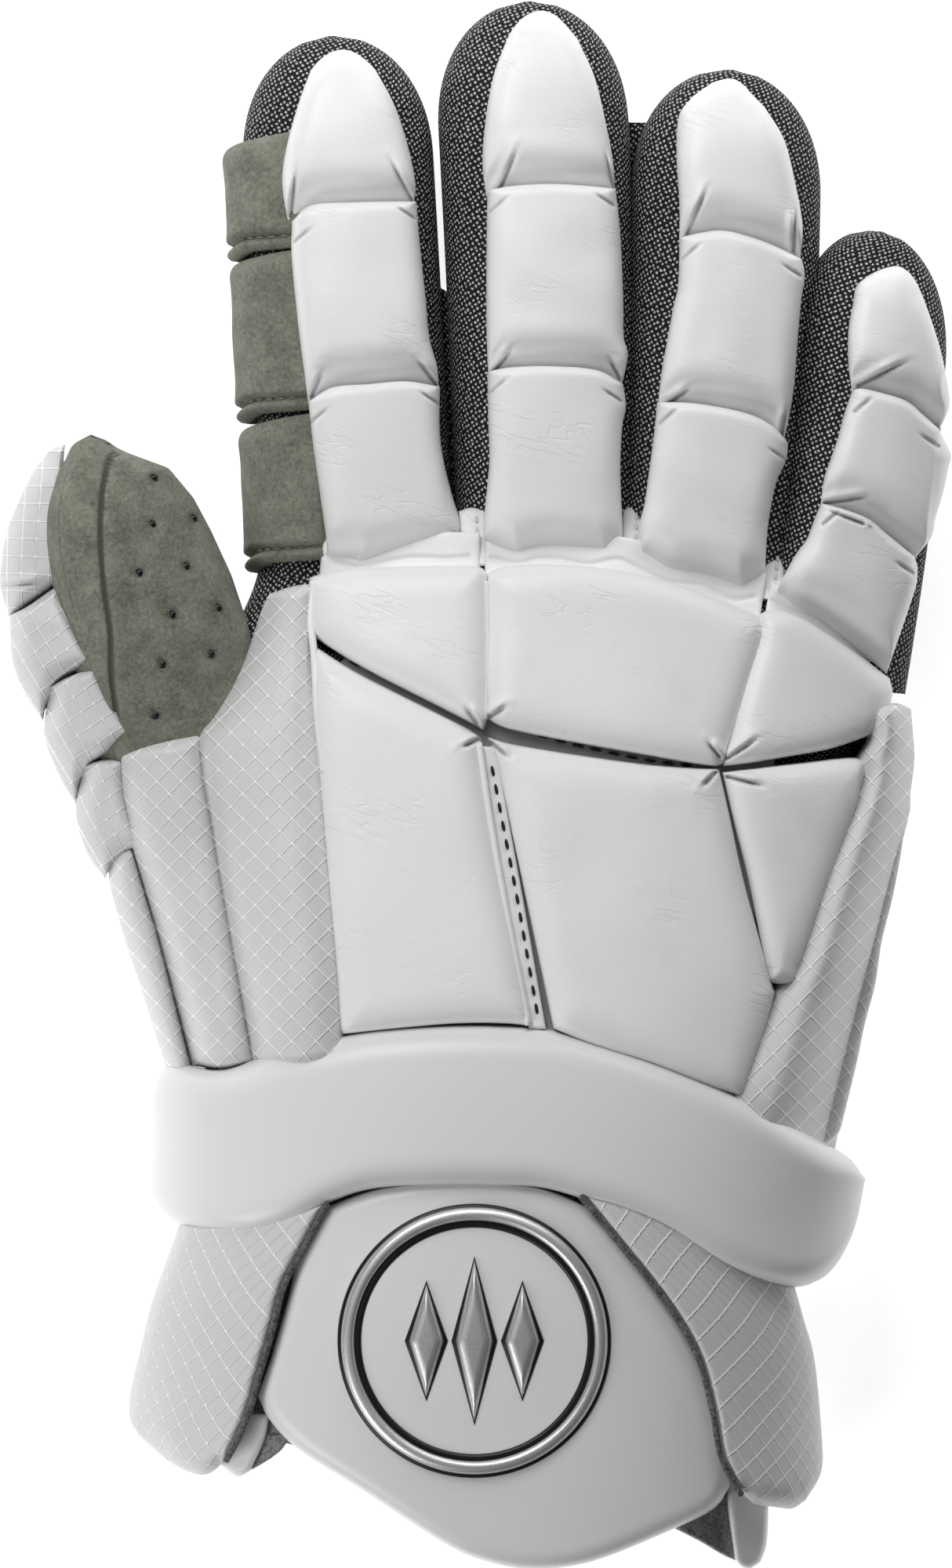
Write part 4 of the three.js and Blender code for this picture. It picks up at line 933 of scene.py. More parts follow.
PADS = {
    "index_pad_1": outline(
        [(-35.1, 151.2), (-33.4, 153.2), (-31.4, 154.7), (-28.9, 155.5), (-26.4, 155.0),
         (-24.1, 153.5), (-21.8, 151.2)],
        [(-17.8, 143.7), (-14.8, 134.5), (-13.4, 127.0)],
        [(-39.8, 118.5), (-34.8, 121.5), (-28.1, 122.5), (-21.4, 122.7), (-13.8, 122.5)],
        [(-37.6, 144.5), (-40.4, 134.5), (-41.2, 127.0)],
        folds=[((-38.4, 130.8), (-39.6, 120.2)), ((-18.9, 132.8), (-13.8, 123.5))]),
    "index_pad_2": outline(
        [(-39.1, 118.8), (-35.1, 122.2), (-26.4, 122.8), (-17.2, 123.0), (-13.1, 123.0)],
        [(-12.6, 116.2), (-11.2, 102.8), (-10.4, 94.5), (-8.8, 88.7)],
        [(-35.6, 80.3), (-30.6, 83.0), (-27.6, 83.7), (-15.2, 84.8), (-8.4, 83.8)],
        [(-39.2, 111.2), (-38.1, 99.5), (-37.1, 91.2)],
        folds=[((-32.6, 87.5), (-35.2, 81.8)), ((-13.1, 90.2), (-8.8, 84.5))]),
    "index_pad_3": outline(
        [(-35.6, 80.5), (-30.6, 83.5), (-23.1, 84.2), (-15.2, 84.8), (-8.1, 83.7)],
        [(-8.2, 75.3), (-7.4, 68.5), (-5.4, 60.5), (-3.8, 55.3)],
        [(-31.8, 48.2), (-26.6, 46.5), (-24.9, 45.5), (-14.2, 47.8), (-5.8, 47.5), (-3.4, 48.8)],
        [(-34.8, 72.8), (-33.4, 62.8), (-31.8, 51.2)],
        folds=[]),
    "middle_pad_1": outline(
        [(6.6, 157.8), (8.2, 160.5), (10.6, 162.8), (13.6, 163.8), (16.6, 162.8), (18.9, 160.5),
         (21.1, 157.8)],
        [(24.8, 149.5), (27.2, 139.5), (28.6, 132.0)],
        [(2.2, 124.5), (6.9, 125.7), (15.2, 126.2), (23.6, 125.8), (29.1, 125.2)],
        [(3.6, 149.5), (1.9, 139.5), (1.4, 131.2)],
        folds=[((8.9, 135.2), (4.2, 124.5)), ((26.9, 134.5), (29.1, 126.2))]),
    "middle_pad_2": outline(
        [(2.4, 125.2), (6.9, 126.2), (15.2, 126.7), (23.6, 126.3), (29.2, 125.7)],
        [(30.2, 116.2), (30.8, 102.8), (30.9, 94.8), (31.8, 90.7)],
        [(2.6, 86.5), (6.9, 87.2), (15.2, 87.5), (25.2, 86.7), (30.4, 84.2)],
        [(2.2, 111.2), (2.2, 96.2)],
        folds=[((8.1, 92.8), (3.4, 86.8)), ((27.9, 90.3), (30.4, 85.5))]),
    "middle_pad_3": outline(
        [(2.4, 86.8), (6.9, 87.7), (15.2, 88.0), (25.2, 87.2), (30.8, 84.2)],
        [(31.4, 79.5), (30.6, 75.3), (30.2, 66.2), (30.6, 56.2)],
        [(2.2, 48.5), (8.4, 46.8), (12.8, 48.2), (16.9, 48.2), (23.8, 46.8), (27.8, 45.5),
         (30.8, 48.7)],
        [(2.6, 76.2), (2.8, 67.8), (1.9, 58.3), (1.6, 52.3)],
        folds=[]),
    "ring_pad_1": outline(
        [(46.1, 145.5), (48.4, 147.2), (50.8, 148.7), (54.4, 149.3), (56.8, 147.8), (58.1, 146.3),
         (60.9, 143.3)],
        [(65.1, 136.3), (67.6, 126.2), (68.9, 118.3)],
        [(43.2, 115.2), (47.1, 116.0), (52.1, 116.5), (57.2, 115.2), (62.8, 113.2), (68.4, 110.5)],
        [(43.1, 141.3), (42.6, 133.2), (43.2, 122.8)],
        folds=[((49.1, 126.5), (44.6, 116.5)), ((67.6, 122.5), (67.2, 112.8))]),
    "ring_pad_2": outline(
        [(43.2, 115.2), (47.1, 116.2), (52.1, 116.8), (57.2, 115.7), (62.8, 113.7), (68.8, 110.8)],
        [(69.4, 107.3), (68.6, 102.0), (67.8, 92.7), (67.2, 84.8), (66.1, 77.8)],
        [(38.6, 79.8), (48.2, 79.3), (51.9, 78.7), (58.2, 77.0), (61.8, 74.8), (64.9, 72.5)],
        [(42.9, 105.5), (41.9, 100.8), (40.6, 93.8), (39.4, 87.0)],
        folds=[((45.9, 84.2), (39.9, 79.8)), ((65.8, 79.5), (64.6, 73.5))]),
    "ring_pad_3": outline(
        [(38.4, 80.3), (45.2, 80.2), (51.9, 79.2), (58.2, 77.7), (62.8, 75.2), (65.8, 71.8)],
        [(65.4, 68.2), (63.4, 63.8), (62.2, 58.5), (61.4, 52.7)],
        [(35.6, 45.8), (40.6, 43.3), (48.2, 42.5), (52.1, 41.0), (56.1, 39.5), (60.9, 42.5)],
        [(37.9, 74.7), (36.9, 67.0), (35.8, 59.2), (34.6, 53.7)],
        folds=[]),
    "little_pad_1": outline(
        [(83.2, 107.2), (85.6, 108.5), (88.1, 109.3), (90.1, 109.3), (92.1, 107.8), (93.4, 105.8),
         (94.4, 103.5)],
        [(96.9, 96.7), (98.9, 89.8), (100.2, 83.0), (100.1, 79.5)],
        [(79.9, 82.8), (81.4, 82.8), (86.1, 81.8), (91.1, 80.2), (94.4, 77.5), (97.8, 74.7)],
        [(80.8, 105.0), (80.1, 101.5), (79.1, 95.7), (79.1, 88.8)],
        folds=[((92.1, 89.8), (80.9, 84.2))]),
    "little_pad_2": outline(
        [(79.8, 82.7), (81.9, 83.2), (86.1, 82.3), (91.1, 80.7), (94.4, 78.0), (98.1, 74.7)],
        [(100.6, 69.7), (100.2, 67.3), (98.9, 61.3), (97.4, 56.5), (96.4, 52.2)],
        [(73.2, 58.7), (74.4, 58.0), (78.6, 56.8), (83.2, 54.8), (87.1, 51.7), (92.4, 47.3)],
        [(78.2, 78.0), (76.9, 73.2), (75.4, 68.7), (73.9, 64.3)],
        folds=[((83.6, 60.7), (73.9, 59.2))]),
    "little_pad_3": outline(
        [(73.1, 58.8), (74.4, 58.5), (78.2, 57.5), (83.2, 55.5), (87.1, 52.3), (92.8, 47.7)],
        [(93.4, 45.3), (93.2, 42.0), (91.9, 37.8)],
        [(63.1, 39.5), (66.9, 37.0), (71.9, 35.2), (78.6, 30.3), (86.9, 23.3)],
        [(71.4, 54.5), (70.1, 51.2), (67.6, 47.7)],
        folds=[((73.9, 57.8), (81.9, 54.8))]),
    "knuckle_pad_index": outline(
        [(-34.8, 42.5), (-29.6, 44.0), (-18.1, 44.8), (-1.9, 45.0), (1.4, 43.2)],
        [(1.8, 29.5), (1.6, 16.2)],
        [(-34.4, 31.5), (-28.1, 27.3), (-20.9, 23.2), (-8.1, 16.7), (0.6, 12.2)],
        [(-35.2, 37.0)],
        folds=[((-2.7, 16.0), (-0.1, 12.4))]),
    "knuckle_pad_middle": outline(
        [(2.8, 43.2), (6.9, 44.8), (18.6, 45.2), (31.9, 43.7), (45.2, 40.0), (59.6, 34.2)],
        [(60.2, 30.3), (57.8, 22.8), (54.4, 12.8)],
        [(2.6, 14.2), (6.9, 12.0), (18.6, 9.5), (35.2, 6.5), (48.6, 4.2), (51.6, 4.8)],
        [(2.8, 32.8), (2.6, 22.8)],
        folds=[((6.6, 16.2), (2.4, 13.6)), ((48.6, 8.6), (51.4, 5.2))]),
    "knuckle_pad_little": outline(
        [(60.4, 34.2), (62.8, 35.3), (68.6, 34.2), (78.6, 27.8), (86.9, 21.5)],
        [(87.4, 17.8)],
        [(52.9, 4.2), (58.6, 4.8), (66.9, 6.2), (75.2, 7.8), (84.9, 11.2)],
        [(59.9, 29.5), (56.9, 19.5)],
        folds=[((60.0, 9.6), (53.1, 5.0))]),
    "back_pad_index": outline(
        [(-33.9, 27.8), (-25.6, 22.5), (-14.8, 17.0), (-3.1, 11.2), (0.6, 8.8)],
        [(0.6, 2.8), (4.2, -17.2), (7.4, -32.2)],
        [(-28.1, -52.8), (-18.1, -51.7), (-4.8, -50.5), (5.2, -50.5), (11.4, -51.2)],
        [(-34.4, 16.2), (-32.6, -0.5), (-30.6, -25.5), (-28.8, -48.8)],
        folds=[((-3.4, 7.2), (0.3, 9.0))]),
    "back_pad_middle": outline(
        [(3.2, 8.5), (8.6, 7.0), (21.9, 4.8), (36.9, 2.8), (50.6, 2.0)],
        [(52.8, -7.2), (56.1, -22.2), (61.6, -41.8), (61.9, -46.3)],
        [(16.7, -51.8), (25.2, -55.5), (36.9, -59.2), (48.6, -63.8), (55.6, -65.8)],
        [(5.1, 2.8), (9.0, -15.5), (12.9, -33.8)],
        folds=[((6.9, 5.0), (3.0, 8.3)), ((47.6, -1.2), (50.4, 1.8))]),
    "back_pad_little": outline(
        [(52.9, 1.2), (58.6, 2.0), (68.6, 3.2), (79.4, 4.3), (82.1, 2.2)],
        [(79.4, -7.5), (73.9, -21.8)],
        [(61.9, -39.6), (62.9, -41.9), (66.6, -42.0), (67.8, -39.2)],
        [(55.2, -8.8), (58.6, -22.2)],
        folds=[((61.2, -1.0), (53.2, 1.0))]),
}
PADS["ring_pad_1"]["right"][-1] = (68.4, 111.2)  # this side ends just short of its corner
PADS["back_pad_index"]["right"][0] = (0.4, 8.8)  # and this one starts just inside it

# %% [markdown]
# A finger pad is wrapped like a parcel: its top is flat, its sides stand steep, and at the wrist
# side the leather is folded down over a sloping face, so that the finger can bend. The tip's pad
# thins towards the nail. Each pad sits on the finger's own arch, seen from straight above.

# %% Finger pads
FINGER_PAD = 12  # mm of foam and leather
PAD_CAMBER = 0.011  # its top falls by this times the square of the distance from the middle
END_FACE = 11  # length of the folded face at the wrist side of a finger pad
TIP_LENGTH, TIP_THINNING = 26.0, 0.36  # the tip's pad loses this share over this length


def finger_heights(d):
    """Seat and crown of the pads on one finger, as heights over the plan."""
    def seat(x, y, u, v):
        def up(across, along):
            half, tall, rise = digit_section(d, along, 0.0)
            side = np.clip(np.abs(across) / np.maximum(half, 1), 0, 0.97)
            return rise + tall * (1 - side ** DIGIT_ROUNDNESS) ** (1 / DIGIT_ROUNDNESS)
        return above_digit(d, x, y, up)

    def crown(x, y, u, v):
        def up(across, along):
            _, tall, rise = digit_section(d, np.minimum(along, d["length"] - d["tip"]), 0.0)
            return rise + tall + FINGER_PAD - PAD_CAMBER * across ** 2
        return above_digit(d, x, y, up)
    return seat, crown


def end_face(low):
    """Gives a pad's height a sloping face at the wrist side, as on a wrapped parcel."""
    def shape(u, v, middle, away, height):
        ramp = np.clip(away[3] / END_FACE, 0, 1)
        slope = low + (1 - low) * (1 - (1 - ramp) ** 2.2)
        soft = 0.05  # rounds the brow between the top and the face
        return 0.5 * (height + slope - np.sqrt((height - slope) ** 2 + soft ** 2))
    return shape


def tip_fall(u, v, middle, away, height):
    """A fingertip pad also thins towards its end."""
    body = end_face(0.2)(u, v, middle, away, height)
    share = np.clip(1 - (middle[..., 1].max() - middle[..., 1]) / TIP_LENGTH, 0, 1)
    return body * (1 - TIP_THINNING * share ** 2)


def folded(lines, depth, width, puff):
    """The folds of an outline, with the side that puffs over each."""
    return [(start, end, depth, width, puff if end[0] > start[0] else -puff)
            for start, end in lines]


for number, (finger_name, d) in enumerate(FINGERS.items()):
    seat, crown = finger_heights(d)
    for k in (1, 2, 3):
        name = f"{finger_name}_pad_{k}"
        edges = PADS[name]
        place, size = plan_patch(edges, seat, crown, spread=0.25)
        is_tip = k == 1
        folds = folded(edges["folds"], 1.5, 0.4, 1.0)
        if not is_tip:  # two small tucks at the upper corners
            left, right = np.array(edges["top"][0]), np.array(edges["top"][-1])
            folds += [(left + (4.4, -0.9), left + (0.3, -4.2), 0.9, 0.35, 0.0),
                      (right + (-4.4, -0.7), right + (-0.3, -3.4), 0.9, 0.35, 0.0)]
        piece = padded_skin(
            name + "_skin", place, FINGER_PAD, SMOOTH_LEATHER, size, step=0.42,
            radii=(8, 8, 9 if is_tip else 3.4, 2.6),
            girth=(0.35, 0.35, 0.3 if is_tip else 0.55, 0.15), tuck=1.0, blend=3.6, power=3.2,
            folds=folds, shape=tip_fall if is_tip else end_face(0.22), uneven=(0.3, 15),
            seed=10 * number + k)
        declare(piece, [name])

# %% [markdown]
# The knuckle pads and the three long pads of the back are broad and soft: their rolls are 10 mm
# wide and the stuffing presses them together, so that only a thin dark groove is left between.

# %% Knuckle and back pads
BACK_PAD = 12  # mm of foam and leather


def on_back(lift):
    """A height function: so far above the back of the hand."""
    return lambda x, y, u, v: back_height(x, y, lift)


def back_crown(x, y, u, v):
    """Top of the knuckle and back pads."""
    return back_height(x, y, BACK_PAD) + 0.3


for number, name in enumerate(n for n in PADS if "knuckle" in n or "back" in n):
    edges = PADS[name]
    place, size = plan_patch(edges, on_back(0.0), back_crown, spread=0.85)
    piece = padded_skin(name + "_skin", place, BACK_PAD, SMOOTH_LEATHER, size, step=0.52,
                        radii=(10,) * 4, girth=(0.42,) * 4, tuck=1.6, blend=3.6, power=3.4,
                        folds=folded(edges["folds"], 1.4, 0.45, 1.1), uneven=(0.2, 30),
                        seed=60 + number)
    declare(piece, [name])

# %% [markdown]
# Between the pads the glove shows its own skin: grey backing at the bottom of each groove, with a
# black lock stitch every 4 mm, and thin flanges of white leather where a finger's pad meets the
# knuckles. A thread could be a texture, but a small capsule laid along the seam catches light.

# %% Backing, flanges and threads
def swept(name, lines, radius, material, sides=8, taper=False):
    """Round rods along lines of points, as one piece; taper rounds their ends like a stitch."""
    all_points, walls, caps, start = [], [], [], 0
    angles = np.linspace(0, 2 * math.pi, sides, endpoint=False)
    for line in lines:
        line = np.asarray(line, float)
        ahead = np.gradient(line, axis=0)
        ahead /= np.linalg.norm(ahead, axis=1)[:, None]
        side = np.cross(ahead, (0, 0, 1.0))
        side /= np.maximum(np.linalg.norm(side, axis=1), 1e-6)[:, None]
        up = np.cross(side, ahead)
        share = np.linspace(-1, 1, len(line))
        size = radius * (np.sqrt(1 - (0.98 * share) ** 4) if taper else np.ones(len(line)))
        ring = line[:, None] + size[:, None, None] * (
            np.cos(angles)[:, None] * side[:, None] + np.sin(angles)[:, None] * up[:, None])
        end = start + (len(line) - 1) * sides
        walls.append(quads(len(line), sides, start, closed=True))
        caps += [start + np.arange(sides)[::-1], end + np.arange(sides)]
        all_points.append(ring.reshape(-1, 3))
        start = end + sides
    points = np.vstack(all_points)
    return mesh_object(name, points, [np.vstack(walls), np.array(caps)], material, points[:, :2])


def stitch_lines(path, length=2.6, gap=1.3):
    """A line of points cut into stitches, each bowed a little out of the cloth."""
    path = curve_through(path, 240)
    run = run_along(path)
    count = int(run[-1] // (length + gap))
    lines = []
    for k in range(count):
        at = k * (length + gap) + gap / 2 + np.linspace(0, length, 6)
        line = np.stack([np.interp(at, run, path[:, i]) for i in range(3)], -1)
        line[:, 2] += 0.25 * np.sin(np.linspace(0, math.pi, 6))
        lines.append(line)
    return lines


def lifted(plan, lift):
    """A plan line laid at a height above the back of the hand."""
    plan = curve_through(plan, 60)
    return np.column_stack([plan, back_height(plan[:, 0], plan[:, 1], lift)])


BACKING_LIFT = 5.0
THREAD_LIFT = 0.15  # a thread's middle stands so far out of the cloth
spread, y = np.meshgrid(mix(52, 119, np.linspace(0, 1, 90)), hand_y(np.linspace(0.03, 0.56, 70)))
backing = sheet_mesh("back_backing", hand_point(y, spread, BACKING_LIFT),
                     hand_point(y, spread, 0.4), FOLD_TAPE)
declare(backing)

GROOVE_SEAMS = (  # between the knuckle pads and the back's, over the index and the middle finger
    [(-31, 27.5), (-20.5, 22.5), (-8, 16.3), (-1.5, 13.3)],
    [(4.5, 12.3), (20, 8), (36, 4.6), (49, 3)],
)
lines = []
for seam in GROOVE_SEAMS:
    lines += stitch_lines(lifted(seam, BACKING_LIFT) + (0, 0, THREAD_LIFT))
declare(swept("groove_stitches", lines, 0.32, BLACK_THREAD, taper=True))
print("stitches", len(lines))

FLANGES = {
    "knuckle_flange_index": outline(
        [(-32.6, 53), (-24.9, 52), (-14.2, 53), (0.6, 53)],
        [],
        [(-34.1, 39.5), (-29.6, 40.7), (-18.1, 41), (-1.9, 41), (0.6, 40)],
        [],
        seam=[(-32.5, 48), (-29, 46.4), (-24.9, 45.6), (-18, 47), (-13, 47.6), (-6, 47.4),
              (-2, 47.8)]),
    "knuckle_flange_middle": outline(
        [(1.6, 53), (16.9, 53), (31.1, 52), (40.6, 49.5), (52, 46.5), (61.5, 44.5)],
        [],
        [(1.6, 40), (6.9, 41), (18.6, 41), (31.9, 39.8), (45.2, 36), (59.5, 30)],
        [],
        seam=[(3, 47.5), (8.6, 46.4), (13, 47.4), (18, 47.2), (23.8, 46.2), (30, 47.2),
              (35.6, 44.8), (40.6, 42.6), (48, 41.6), (54, 38.8), (59, 39.2)]),
    "knuckle_flange_little": outline(
        [(62.4, 42.5), (66.9, 40.5), (71.9, 38.5), (80, 32.5), (87.4, 25.5)],
        [],
        [(60.4, 31.8), (62.8, 32.5), (68.6, 31.3), (78.6, 25), (86, 19)],
        [],
        seam=[(62.5, 38.5), (67, 36.2), (72, 34.2), (79, 29.2), (86, 23.4)]),
}


def seam_groove(seam):
    """A narrow dent along a wavy seam."""
    wavy = curve_through(seam, 80)

    def shape(u, v, middle, away, height):
        far = reach(middle.reshape(-1, 3)[:, :2], wavy)[0].reshape(u.shape)
        return height - 0.2 * np.exp(-(far / 0.4) ** 2)
    return shape


def flange_crown(x, y, u, v):
    """Top of a flange, which rises towards the knuckles."""
    return back_height(x, y, mix(2.2, 4.6, v))


for number, (name, edges) in enumerate(FLANGES.items()):
    place, size = plan_patch(edges, on_back(0.0), flange_crown)
    piece = padded_skin(name + "_skin", place, 5.6, SMOOTH_LEATHER, size, step=0.35,
                        radii=(0.9,) * 4, girth=(0.75,) * 4, tuck=0.4, blend=3,
                        shape=seam_groove(edges["seam"]), uneven=(0.1, 7), seed=50 + number)
    declare(piece, [] if "little" in name else [name])

# %% [markdown]
# Between the fingers a knitted web joins the stalls, and where it ends a strip of white leather
# with a row of stitches runs down to the knuckles. A web is a sheet stretched between lines on
# two stalls that sags a little in the middle, and a strip is a thin padded skin.

# %% Webs and strips between the fingers
WEBS = {"index_middle": (70, 68), "middle_ring": (104, 109),  # how far up each finger they go
        "ring_little": (102, 86)}
WEB_INSIDE = -1.5  # its edges hide inside the stalls
WEB_SAG, WEB_FLOOR, WEB_THICKNESS = 2.0, 3.0, 1.5
for pair, tops in WEBS.items():
    a, b = (FINGERS[part] for part in pair.split("_"))
    share = np.linspace(0, 1, 60)
    near = digit_point(a, mix(-2, tops[0], share), -14, WEB_INSIDE)
    far = digit_point(b, mix(-2, tops[1], share), 194, WEB_INSIDE)
    u = np.linspace(0, 1, 16)[None, :, None]
    web = mix(near[:, None], far[:, None], u)
    web[..., 2] -= WEB_SAG * np.sin(math.pi * u[..., 0])
    web[..., 2] = np.maximum(web[..., 2], WEB_FLOOR)
    under = web - (0, 0, WEB_THICKNESS)
    declare(sheet_mesh("knit_web_" + pair, web, under, KNIT_MESH))

STRIPS = {
    "web_strip_index": outline(
        [(-4.0, 57.5), (-1.2, 58.3), (2.0, 57.5)],
        [],
        [(-3.1, 45.5), (2.1, 45.8)],
        [(-3.6, 52.8)],
        heights=(28, 35)),
    "web_strip_ring": outline(
        [(30.9, 57.8), (33.2, 58.7), (35.9, 57.8)],
        [],
        [(30.6, 46.5), (34.9, 46.2)],
        [],
        heights=(25, 35)),
    "web_strip_little": outline(
        [(60.9, 49.2), (63.2, 49.8), (65.9, 48.8)],
        [],
        [(60.6, 38.8), (64.6, 38.2)],
        [],
        heights=(22, 32)),
}
STRIP_THICKNESS = 3.0
for number, (name, edges) in enumerate(STRIPS.items()):
    upper, lower = edges["heights"]
    place, size = plan_patch(edges, lambda x, y, u, v: mix(upper, lower, v) - STRIP_THICKNESS,
                             lambda x, y, u, v: mix(upper, lower, v))
    piece = padded_skin(name, place, STRIP_THICKNESS, SMOOTH_LEATHER, size, step=0.35,
                        radii=(1.2,) * 4, girth=(0.5,) * 4, tuck=0.3, blend=3,
                        uneven=(0.15, 6), seed=170 + number)
    declare(piece)
    row = np.array([place(0.62, share, 1.0) for share in np.linspace(0.1, 0.98, 14)])
    row[:, 2] += 0.1
    declare(swept(name + "_stitches", stitch_lines(row, 1.9, 0.8), 0.36, WHITE_THREAD, taper=True))

# %% [markdown]
# Thin leather pipings close some seams: a cord is folded into a strip and sewn between two pieces,
# so it stands up as an even round line. The long seam of the back is a flat strip with a row of
# stitches beside its piping. A piping could be a curve with a bevel; the rods of the threads
# above do as well, and keep one way of making every round line.

# %% Pipings and the back's seam
PIPINGS = {  # plan line, height over the hand, radius
    "piping_thumb_side": ([(-34.8, 42.5), (-35.4, 35.3), (-34.6, 27.0), (-33.8, 14.5),
                           (-32.4, 2.0)], 9.5, 0.8),
    "piping_knuckles": ([(1.8, 42.5), (1.8, 32.8), (1.6, 21.2), (1.4, 13.2)], 9.0, 0.85),
    "piping_back": ([(0.4, 8.2), (2.6, -7.2), (6.1, -27.2), (10.8, -51.5)], 10.0, 0.7),
}
BACK_SEAM = outline(
    [(0.6, 7.5), (4.2, 7.5)],
    [(6.6, -7.2), (9.9, -25.5)],
    [(10.9, -52.5), (14.6, -52.5)],
    [(2.9, -7.2), (6.2, -27.2)])
SEAM_STRIP_LIFT = 8.6
place, size = plan_patch(BACK_SEAM, on_back(5.0), on_back(SEAM_STRIP_LIFT))
declare(padded_skin("back_seam_strip", place, 3.6, SMOOTH_LEATHER, size, step=0.4, radii=(0.9,) * 4,
                    girth=(0.6,) * 4, tuck=0.3, uneven=(0.1, 8), seed=180))
seam = lifted([(2.9, 4.2), (5.4, -8.8), (8.6, -25.5), (13.1, -51.2)], SEAM_STRIP_LIFT)
seam[:, 2] += 0.1
declare(swept("back_seam_stitches", stitch_lines(seam, 2.3, 1.7), 0.36, BLACK_THREAD, taper=True))
for name, (line, lift, radius) in PIPINGS.items():
    declare(swept(name, [lifted(line, lift)], radius, SMOOTH_LEATHER, sides=14))

# %% [markdown]
# The sides of the hand carry thick panels of net-embossed leather. The one low on the little
# finger's side hides under the others from above, so it has no outline in the plan: its borders
# are two angles round the hand, read from a table.

# %% The low side panel
PANEL_THICKNESS = 10  # mm of foam and leather
SINK = -0.3  # a skin on a surface starts just inside it
LOW_PANEL = ((0.255, -14, 4), (0.36, -14, 4), (0.48, -14, 6), (0.62, -14, 10))


def low_panel_place(u, v, h):
    """A row of the table is a share of the hand's length and the angles of both borders."""
    places, start, end = zip(*LOW_PANEL)
    at = mix(places[0], places[-1], v)
    angle = mix(follow(places, start, at), follow(places, end, at), u)
    return hand_point(hand_y(at), angle, mix(SINK, PANEL_THICKNESS, h))


def piece_size(place):
    """Width and length of a surface piece, measured across its middle."""
    s, half, full = np.linspace(0, 1, 40), np.full(40, 0.5), np.full(40, 1.0)
    return [line_length(place(s, half, full)), line_length(place(half, s, full))]


piece = padded_skin("side_panel_little_2_skin", low_panel_place, PANEL_THICKNESS, NET_LEATHER,
                    piece_size(low_panel_place), step=0.7, radii=(4,) * 4, girth=(0.4,) * 4,
                    tuck=1.5, blend=3.5, uneven=(0.35, 22), seed=80, flat_by_arc=True)
declare(piece, ["side_panel_little_2"])

# %% [markdown]
# The other side panels wrap the edge of the hand. Seen from above each is a long outline like
# those of the back, but its height rises from one side to a crest and falls away to the other.

# %% Panels seen from above
BOX_PANELS = {  # heights of the left side, the crest and the right side, from the top edge down
    "side_panel_thumb_3": outline(
        [(-77.3, -16.3), (-75.5, -14.8), (-73.6, -14.0)],
        [(-70.5, -25), (-67.4, -35.3), (-61.4, -58.8)],
        [(-65.4, -63), (-63, -63.5), (-60.5, -63)],
        [(-78.1, -21.2), (-75, -33), (-71.3, -44.2)],
        heights=((20, 23, 26), (29, 33, 38), (29, 33, 37)),
        crest=(0.8, 0.8), seat=7, radii=(5, 3, 4, 4)),
    "side_panel_thumb_2": outline(
        [(-78.8, 4.8), (-77.3, 6.6), (-74.8, 7.4), (-68.1, 8.6), (-59.2, 9.9)],
        [(-57.8, -0.5), (-55.9, -10.2), (-51.3, -35.3)],
        [(-60.6, -60), (-54, -61), (-47.1, -60)],
        [(-76.8, -1.3), (-73.3, -13.7), (-67.1, -35.3)],
        heights=((32, 31, 37), (40, 42, 49), (38, 39, 46)),
        crest=(0.7, 0.7), seat=14, radii=(7, 3, 3.5, 4)),
    "side_panel_thumb_1": outline(
        [(-43.9, 39.7), (-39.4, 41.2), (-34.9, 41.8)],
        [(-34.6, 27.3), (-33.6, 14.5), (-31.9, -0.3), (-29.9, -25.5)],
        [(-48, -60), (-38, -61), (-27.5, -60)],
        [(-45.6, 36.2), (-48.4, 27.8), (-51.4, 21.2), (-56.4, 13.7), (-59.9, 9.2), (-59.3, -0.5),
         (-57.1, -10.2), (-52.5, -35.3)],
        heights=((31, 38, 49), (39, 47.5, 59), (37, 45, 56)),
        crest=(0.72, 0.7), seat=20, radii=(7, 2.5, 3, 4)),
    "side_panel_little_1": outline(
        [(82.5, 15.3), (86.4, 16.3), (89.6, 16.3), (92.1, 15.2)],
        [(92.6, 9.5), (92.9, 4.5), (92.0, -3.0), (91.9, -6.5), (89.4, -16.7), (84.6, -37),
         (80.3, -56)],
        [(47, -80), (60, -81), (75.6, -80)],
        [(82.9, 8.7), (80.2, 4.3), (80.4, -1), (73.2, -17.2), (66.4, -36.3), (61.0, -46),
         (56.6, -58), (51, -70)],
        heights=((30, 40, 54.5), (34.5, 43.5, 55), (14, 15, 19)),
        crest=(0.44, 0.34), seat=10, radii=(2.5, 5, 3, 4)),
}


def box_heights(spec):
    """Seat and crown of a panel that rolls over a crest between its two sides."""
    def crown(x, y, u, v):
        low, top, far = (follow((0, 0.45, 1), row, v) for row in spec["heights"])
        crest = mix(*spec["crest"], v)
        before = np.clip((crest - u) / crest, 0, 1)
        after = np.clip((u - crest) / (1 - crest), 0, 1)
        return top - (top - low) * before ** 2 - (top - far) * after ** 1.9
    return (lambda x, y, u, v: np.full(np.shape(x), float(spec["seat"]))), crown


BOX_DEPTH = 20  # about what it is from the crest to the seat; scales the unevenness
for number, (name, spec) in enumerate(BOX_PANELS.items()):
    place, size = plan_patch(spec, *box_heights(spec), spread=0.3)
    piece = padded_skin(name + "_skin", place, BOX_DEPTH, NET_LEATHER, size, step=0.6,
                        radii=spec["radii"], girth=(0.55, 0.7, 0.6, 0.6), tuck=1.2, blend=3.2,
                        uneven=(0.3, 20), seed=90 + number)
    declare(piece, [name])

# %% [markdown]
# The cuff opens in two wings beside its plate, made like the side panels. Each wing's inner edge
# is bound with knitted tape, which shows as a thin grey line: a rod laid along that edge.

